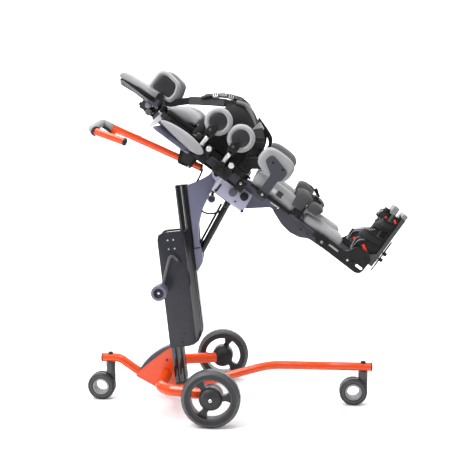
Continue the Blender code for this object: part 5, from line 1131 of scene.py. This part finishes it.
def harness_details():
    middle, half = -0.05, 0.068

    def vest(along, across):
        turn = across * math.pi / 2
        sink = 0.022 * (along + 0.05) ** 2 + 0.012 * max(0.0, along) + (0.01 if along < -0.7 else 0.0)
        narrow = 1 - 0.22 * abs(across) ** 1.4
        flat = math.copysign(abs(math.sin(turn)) ** 0.85, turn)
        arch = abs(math.cos(turn)) ** 0.52
        u = middle + along * half * narrow + 0.006 * abs(across)
        return Vector((u, flat * 0.12, 0.07 + (0.182 - sink) * arch))

    shield("chest_vest", vest, 16, 8, 0.0065, TILT, BLACK_KNIT, "tilt", "chest_harness")
    # The vest's padded grey edge and face, with a dark binding beside them.
    places = (-0.86, -0.72, -0.55, -0.35, -0.12, 0.12, 0.35, 0.55, 0.72, 0.86)
    band = [vest(0.96, a) + Vector((0.009, 0.0, 0.007 * (1 - abs(a)))) + Vector((0.0, 0.01 * a, 0.0))
            for a in places]
    strap("vest_band", band, 0.028, 0.012, TILT, MID_KNIT, "tilt", across=(1.0, 0.0, -0.5), steps=5)
    chest = [(-0.092, 0.0, 0.242), (-0.074, 0.0, 0.25), (-0.056, 0.0, 0.253), (-0.037, 0.0, 0.244),
             (-0.017, 0.0, 0.2325), (0.002, 0.0, 0.219), (0.02, 0.0, 0.204)]
    strap("vest_face", chest, 0.15, 0.0135, TILT, MID_KNIT, "tilt", steps=5)
    edge = [vest(1.0, a) + Vector((0.019, 0.008 * a, -0.005)) for a in places]
    wire("vest_binding", edge, 0.0032, TILT, BLACK_WEB, "tilt", 5, 8)
    for word, side in SIDES:
        # A padded shoulder strap, face out, and the adjuster strap above it.
        flat_on = (-0.5, -0.35 * side, 0.8)
        over = mirrored(
            [(-0.096, 0.062, 0.233), (-0.125, 0.06, 0.215), (-0.155, 0.06, 0.197), (-0.18, 0.06, 0.18),
             (-0.205, 0.06, 0.164), (-0.228, 0.059, 0.147), (-0.254, 0.056, 0.123), (-0.276, 0.054, 0.1),
             (-0.28, 0.052, 0.076)], side)
        strap(f"shoulder_strap_{word}", over, 0.024, 0.0034, TILT, BLACK_WEB, "tilt", across=flat_on)
        strap(f"strap_sleeve_{word}", over[1:6], 0.029, 0.0085, TILT, CHARCOAL_KNIT, "tilt", across=flat_on)
        upper = mirrored(
            [(-0.2, 0.057, 0.181), (-0.18, 0.054, 0.205), (-0.15, 0.051, 0.229), (-0.115, 0.049, 0.247),
             (-0.08, 0.047, 0.257), (-0.05, 0.046, 0.254)], side)
        lean = (0.0, 0.88, 0.48)
        strap(f"adjuster_strap_{word}", upper, 0.024, 0.003, TILT, BLACK_WEB, "tilt", across=lean)
        fittings = ((0.16, BLACK_MOULD), (0.3, SILVER), (0.44, MID_SHELL), (0.58, HUB_GREY),
                    (0.72, BLACK_MOULD))
        for k, (t, made) in enumerate(fittings):
            here = TILT @ on_path(upper, t, lean)
            if k % 2:
                slider(f"strap_slider_{word}_{k}", here, 0.017, 0.032, 0.0066, made, "tilt")
            else:
                clip(f"strap_clip_{word}_{k}", here, 0.026, 0.03, 0.009, made, "tilt")
        block(f"strap_anchor_{word}", (-0.288, 0.035, 0.068), (-0.276, 0.069, 0.082), TILT, BLACK_MOULD,
              "tilt", 0.002, side)
        # Side belts from the back shell up to the vest, above and below the trunk pads.
        head_belt = mirrored(
            [(-0.133, 0.129, 0.072), (-0.131, 0.124, 0.105), (-0.124, 0.112, 0.145), (-0.106, 0.1, 0.185)],
            side)
        strap(f"side_belt_head_{word}", head_belt, 0.034, 0.0034, TILT, BLACK_WEB, "tilt",
              across=(1.0, 0.0, 0.2))
        hip_belt = mirrored(
            [(0.066, 0.133, 0.072), (0.068, 0.135, 0.108), (0.064, 0.133, 0.148), (0.05, 0.125, 0.186),
             (0.02, 0.106, 0.212)], side)
        tilted = (0.8, 0.0, 0.45)
        strap(f"side_belt_hip_{word}", hip_belt, 0.04, 0.0038, TILT, BLACK_WEB, "tilt", across=tilted)
        out = Matrix.Translation((0.0, 0.0, 0.003))
        clip(f"side_buckle_{word}", TILT @ on_path(hip_belt, 0.7, tilted) @ out, 0.04, 0.04, 0.012,
             BLACK_MOULD, "tilt")
        slider(f"side_slider_{word}", TILT @ on_path(hip_belt, 0.36, tilted) @ out, 0.022, 0.046, 0.01,
               SHELL_GREY, "tilt")
        web = mirrored([(0.032, 0.131, 0.07), (0.036, 0.13, 0.115), (0.04, 0.125, 0.165)], side)
        strap(f"side_web_{word}", web, 0.052, 0.003, TILT, BLACK_KNIT, "tilt", across=(1.0, 0.0, 0.1))
        belt = mirrored(
            [(0.058, 0.142, 0.096), (0.077, 0.156, 0.111), (0.096, 0.166, 0.126), (0.114, 0.172, 0.142)],
            side)
        # The hip belt runs up towards the hip pad; it is baked in place and rides on no body.
        hip_web = strap(f"hip_belt_{word}", belt, 0.036, 0.003, TILT, BLACK_KNIT, None,
                        across=(0.66, 0.0, -0.75))
        tuple(TILT @ Vector(belt[0]))
        tuple(TILT @ Vector(belt[-1]))
        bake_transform(hip_web)
        guard = (((0.076, 0.118, 0.005), (0.108, 0.136, 0.047)),
                 ((0.076, 0.118, 0.044), (0.086, 0.136, 0.054)))
        blocks(f"hip_guard_{word}", guard, TILT, BLACK_MOULD, "tilt", 0.005, side)
        screw(f"hip_guard_bolt_{word}", TILT, (0.087, side * 0.136, 0.033), (0, side, 0), 0.0052, STEEL,
              "tilt", 0.003)
        sleeve = mirrored([(0.056, 0.141, 0.103), (0.072, 0.146, 0.118), (0.09, 0.149, 0.133)], side)
        strap(f"belt_sleeve_{word}", sleeve, 0.022, 0.009, TILT, CHARCOAL_KNIT, "tilt",
              across=(-0.6, 0.0, 0.8))
    # Two narrow straps run from the vest to the far hip.
    for k, shift in enumerate((0.0, 0.01)):
        low = [(0.0, 0.066 + shift, 0.24 - shift), (0.026, 0.082 + shift, 0.231 - shift),
               (0.056, 0.1 + shift, 0.22 - shift), (0.082, 0.12, 0.204 - shift), (0.093, 0.132, 0.17),
               (0.092, 0.137, 0.12), (0.086, 0.13, 0.074)]
        strap(f"waist_strap_{k}", low, 0.009, 0.0042, TILT, BLACK_WEB, "tilt", across=(0.5, 0.2, 0.85))


# Hips, legs and feet.

def hip_details():
    for word, side in SIDES:
        outline = oval(0.063, 0.044, 2.9)
        middle = (0.144, 0.158) if side == NEAR else (0.149, 0.166)
        ring_pad(f"hip_cushion_{word}", outline, (middle[0], side * 0.163, middle[1]), 0.0252, side, TILT,
                 f"hip_{word}", f"hip_pad_{word}", shell=0, rim=-0.0004)
        for k, (u, n) in enumerate(((0.132, 0.158), (0.172, 0.158))):
            screw(f"hip_bolt_{word}_{k}", TILT, (u, side * 0.1811, n), (0, side, 0), 0.0036, BLACK_COAT,
                  f"hip_{word}", 0.002)
        block(f"hip_clamp_{word}", (0.147, 0.1809, 0.044), (0.185, 0.188, 0.06), TILT, BLACK_MOULD,
              f"hip_{word}", 0.004, side)
        screw(f"hip_clamp_bolt_{word}", TILT, (0.166, side * 0.188, 0.052), (0, side, 0), 0.005, STEEL,
              f"hip_{word}", 0.003)


def leg_details():
    seat = 0.0567
    for word, side in SIDES:
        body = f"leg_{word}"
        y0, y1 = sorted((side * 0.07, side * 0.155))
        thigh = pad_rule((0.108, y0, seat), (0.288, y1, seat + 0.061), 0.01, 0.035)
        cushion(f"thigh_cushion_{word}", cage(thigh, (-0.78, 0.78), EDGE_LOOPS, (-0.2, 0.5)), TILT,
                GREY_KNIT, body, seat, 0.0032, seams=(((0, 0, 1), seat + 0.044, 0.0014, 0.0026),),
                takes=(f"thigh_pad_{word}",))
        calf = pad_rule((0.327, y0, seat), (0.483, y1, seat + 0.044), 0.008, 0.035, 0.005)
        cushion(f"calf_cushion_{word}", cage(calf, (-0.78, 0.78), EDGE_LOOPS, (-0.2, 0.5)), TILT, GREY_KNIT,
                body, seat, 0.0032, seams=(((0, 0, 1), seat + 0.032, 0.0014, 0.0026),),
                takes=(f"calf_pad_{word}",))
        # A black edge strip, the pad's fastening patches and the beam's bolts.
        for name, outline, low, high, made, edge in (
                ("leg_edge", rectangle(0.116, 0.33, 0.049, 0.06, 0.002), 0.1562, 0.1588, BLACK_MOULD,
                 0.0006),
                ("pad_patch", rectangle(0.205, 0.226, 0.074, 0.094, 0.002), 0.1525, 0.1562, CHARCOAL_KNIT,
                 0.0008),
                ("pad_tag", rectangle(0.186, 0.201, 0.076, 0.09, 0.003), 0.1525, 0.1562, PALE_PLASTIC,
                 0.0008)):
            slab(f"{name}_{word}", outline, side * low, side * high, TILT, made, body, edge=edge)
        bolts = ((0.237, 0.045, 0.005), (0.215, 0.048, 0.003), (0.345, 0.03, 0.0034), (0.372, 0.033, 0.0034))
        for k, (u, n, r) in enumerate(bolts):
            screw(f"beam_bolt_{word}_{k}", TILT, (u, side * 0.146, n), (0, side, 0), r,
                  STEEL if k < 2 else BLACK_COAT, body, 0.003)
        clips = (((0.156, 0.148, 0.04), (0.178, 0.153, 0.049)),
                 ((0.206, 0.148, 0.043), (0.232, 0.153, 0.049)))
        blocks(f"plate_clip_{word}", clips, TILT, STEEL, body, 0.001, side)
        a, b = sorted((side * 0.164, side * 0.17))
        blocks(f"slide_block_{word}",
               (((0.386, a, 0.04), (0.412, b, 0.056)), ((0.4, a, 0.033), (0.436, b - 0.001, 0.048))), TILT,
               BLACK_MOULD, f"foot_slide_{word}", 0.002)
        screw(f"slide_bolt_{word}", TILT, (0.425, side * 0.17, 0.042), (0, side, 0), 0.0052, HUB_GREY,
              f"foot_slide_{word}", 0.003)
        knee_pads(word, side, body)


def knee_pads(word, side, body):
    """Two padded lobes over the knee, held by side flaps and a buckled strap."""
    middle, wide = side * 0.1125, 0.047
    lobes = ((0.2895, 0.0265, 0.08, 0.1375, 0.0115), (0.342, 0.024, 0.098, 0.129, 0.01))
    if side == FAR:
        lobes = ((0.29, 0.028, 0.082, 0.147, 0.0115), (0.351, 0.03, 0.095, 0.131, 0.01))
    for k, (u, half, low, top, deep) in enumerate(lobes):
        def lobe(along, across, u=u, half=half, low=low, top=top):
            turn = across * math.pi / 2
            arch = abs(math.cos(turn)) ** 0.45
            ends = 0.012 * abs(along) ** 3
            return Vector((
                u + along * half * (1 - 0.3 * abs(across) ** 3) - 0.004 * abs(across),
                middle + math.copysign(abs(math.sin(turn)) ** 0.62, turn) * (wide - 0.002 * abs(along)),
                low + (top - low - ends) * arch,
            ))

        shield(f"knee_cushion_{word}_{k}", lobe, 14, 8, deep, TILT, CHARCOAL_KNIT, body, f"knee_cup_{word}")
    rise = lobes[0][3] + 0.01
    bridge = [(0.296, middle, rise), (0.318, middle, rise - 0.005), (0.342, middle, lobes[1][3] + 0.009)]
    strap(f"knee_bridge_{word}", bridge, 0.05, 0.004, TILT, BLACK_WEB, body)
    here = TILT @ on_path(bridge, 0.78) @ Matrix.Translation((0.0, 0.0, 0.005))
    clip(f"knee_buckle_{word}", here, 0.034, 0.03, 0.011, BLACK_MOULD, body)
    for end, y in (("inner", 0.0665), ("outer", 0.159)):
        out = 1 if end == "outer" else -1
        flap = [(0.299, side * (y + out * 0.003), 0.1), (0.301, side * (y + out * 0.0045), 0.082),
                (0.302, side * (y + out * 0.002), 0.06)]
        strap(f"knee_flap_{end}_{word}", flap, 0.03, 0.004, TILT, BLACK_WEB, body, across=(1.0, 0.0, 0.0))
    a, b = sorted((side * 0.159, side * 0.169))
    blocks(f"knee_mount_{word}",
           (((0.288, a, 0.048), (0.316, b, 0.064)), ((0.293, a, 0.06), (0.311, b - 0.001, 0.078))), TILT,
           BLACK_MOULD, body, 0.003)
    turned(f"knee_mount_bolt_{word}",
           [(0.0064, -0.001), (0.0064, 0.0016), (0.005, 0.0026), (0.003, 0.0012), (0.0003, 0.001)],
           facing(TILT, (0.301, b if side > 0 else a, 0.056), (0, side, 0)), SHELL_GREY, body, 18)


def foot_details():
    face = 0.601
    for word, side in SIDES:
        body, near = f"foot_{word}", side == NEAR
        y = side * 0.1165
        # Ribs and the tail strip on the footplate's underside, and its pale toe edge.
        for k in range(5):
            w = y + (k - 2) * 0.0145
            block(f"plate_rib_{word}_{k}", (face + 0.0118, w - 0.0022, 0.095),
                  (face + 0.0146, w + 0.0022, 0.266), FOOT, PLATE_GREY, body, 0.001)
        toe_rise, toe_start = (0.007, 0.266) if near else (0.011, 0.25)
        block(f"plate_toe_{word}", (face - toe_rise, y - 0.0408, toe_start),
              (face + 0.0134, y + 0.0408, 0.2838), FOOT, TOE_GREY, body, 0.0065)
        slab(f"tail_strip_{word}", rectangle(y - 0.012, y + 0.012, 0.06, 0.18, 0.004), face + 0.023,
             face + 0.0248, FOOT, BLACK_COAT, body, axis="X", edge=0.0005)
        for k, n in enumerate((0.108, 0.132)):
            knob(f"tail_knob_{word}_{k}", FOOT, (face + 0.014, y, n), (1, 0, 0), 0.0068, 0.022, BLACK_MOULD,
                 body, 5)
        # Padded ankle and toe straps with buckles, red clips and, on the far foot, a curled strap end.
        w = 0.033

        def over_foot(crest, foot):
            arc = ((1.0, 0.0, 0.09), (1.0, 0.4, 0.12), (0.92, 0.8, 0.04), (0.45, 0.98, 0.0))
            half = [(w * a + c * w, foot[0] + (crest[0] - foot[0]) * b, foot[1] + (crest[1] - foot[1]) * b)
                    for a, b, c in arc]
            rising = [(u, y - v, n) for v, u, n in half]
            falling = [(u, y + v, n) for v, u, n in half[::-1]]
            return rising + [(crest[0], y, crest[1])] + falling

        ends = ((0.525, 0.15), (0.588, 0.156)) if near else ((0.535, 0.112), (0.574, 0.112))
        ankle = over_foot(*ends)
        slant = (0.2, 0.0, 1.0)
        strap(f"ankle_pad_{word}", ankle, 0.031, 0.0125, FOOT, BLACK_KNIT, body, across=slant, steps=6)
        ends = ((0.55, 0.208), (0.59, 0.224)) if near else ((0.568, 0.226), (0.592, 0.232))
        toe = over_foot(*ends)
        lean = (0.5, 0.0, 1.0)
        strap(f"toe_pad_{word}", toe, 0.036 if near else 0.026, 0.011, FOOT, BLACK_KNIT, body, across=lean,
              steps=6)
        for k, (path, way, wide) in enumerate(((ankle, slant, 0.018), (toe, lean, 0.016))):
            frames = [on_path(path, t / 14, way) for t in range(15)]
            skin = [here.translation + here.col[2].to_3d() * -0.007 for here in frames]
            strap(f"foot_strap_{word}_{k}", skin, wide, 0.0024, FOOT, BLACK_WEB, body, across=way, steps=3)
        here = FOOT @ on_path(toe, 0.7 if near else 0.3, lean) @ Matrix.Translation((0.0, 0.0, -0.01))
        clip(f"toe_buckle_{word}", here, 0.024, 0.02, 0.009, SHELL_GREY, body)
        if not near:
            turns = [math.radians(angle) for angle in (-70, -30, 10, 50, 90, 130, 165)]
            curl = [(0.576 - 0.015 * math.cos(a), y - 0.006, 0.235 + 0.016 * math.sin(a)) for a in turns]
            strap(f"toe_curl_{word}", curl, 0.022, 0.003, FOOT, BLACK_WEB, body, steps=5)
        block(f"insole_{word}", (0.573, y - 0.03, 0.1), (0.6004, y + 0.03, 0.26), FOOT, BLACK_KNIT, body,
              0.006)
        out = y + side * (w + 0.0085)
        inside = y - w - 0.01
        clips = ((0.5545, 0.113, 32.0, out), (0.586, 0.244, 40.0, out))
        if not near:
            clips = ((0.548, 0.1, 20.0, inside), (0.589, 0.229, 40.0, inside))
        for k, (u, n, turn, place) in enumerate(clips):
            here = FOOT @ turned_frame(u, place, n, turn) @ Matrix.Rotation(math.radians(90), 4, "X")
            clip(f"red_clip_{word}_{k}", here, 0.026 if k == 0 else 0.013, 0.012 if k == 0 else 0.008, 0.006,
                 RED, body)
        a, b = sorted((out - side * 0.006, out + side * 0.001))
        block(f"ankle_ladder_{word}", (0.556, a, 0.09), (0.569, b, 0.101), FOOT, HUB_GREY, body, 0.001)
        slab(f"slot_liner_{word}", rectangle(0.45, 0.493, 0.046, 0.052, 0.002), side * 0.1578,
             side * 0.1583, TILT, PALE_PLASTIC, f"leg_{word}", edge=0.0001)
        # Grey piping along the heel cup's mouth.
        edge = mirrored(
            [(0.5835, 0.149, 0.1715), (0.56, 0.1492, 0.153), (0.54, 0.1492, 0.137), (0.5245, 0.1488, 0.1245),
             (0.5225, 0.14, 0.1), (0.5225, 0.1165, 0.085), (0.5225, 0.093, 0.1), (0.5245, 0.0842, 0.1245),
             (0.54, 0.0838, 0.137), (0.56, 0.0838, 0.153), (0.5835, 0.084, 0.1715)], side)
        wire(f"sandal_piping_{word}", edge, 0.0021, FOOT, GREY_WEB, body, 5, 8)
        for k, (u, n) in enumerate(((0.58, 0.085), (0.445, 0.049), (0.55, 0.049), (0.5318, 0.0454))):
            screw(f"foot_bolt_{word}_{k}", TILT, (u, side * (0.1637 if k in (0, 3) else 0.1687), n),
                  (0, side, 0), 0.0048, STEEL if k == 3 else BLACK_COAT,
                  f"leg_{word}" if k in (1, 2) else f"foot_slide_{word}", 0.003)


make_camera()
make_stage()
dress_nodes()
cables()
base_details()
mast_details()
handle_details()
tilt_details()
head_details()
trunk_details()
arm_details()
harness_details()
hip_details()
leg_details()
foot_details()
blow_up()
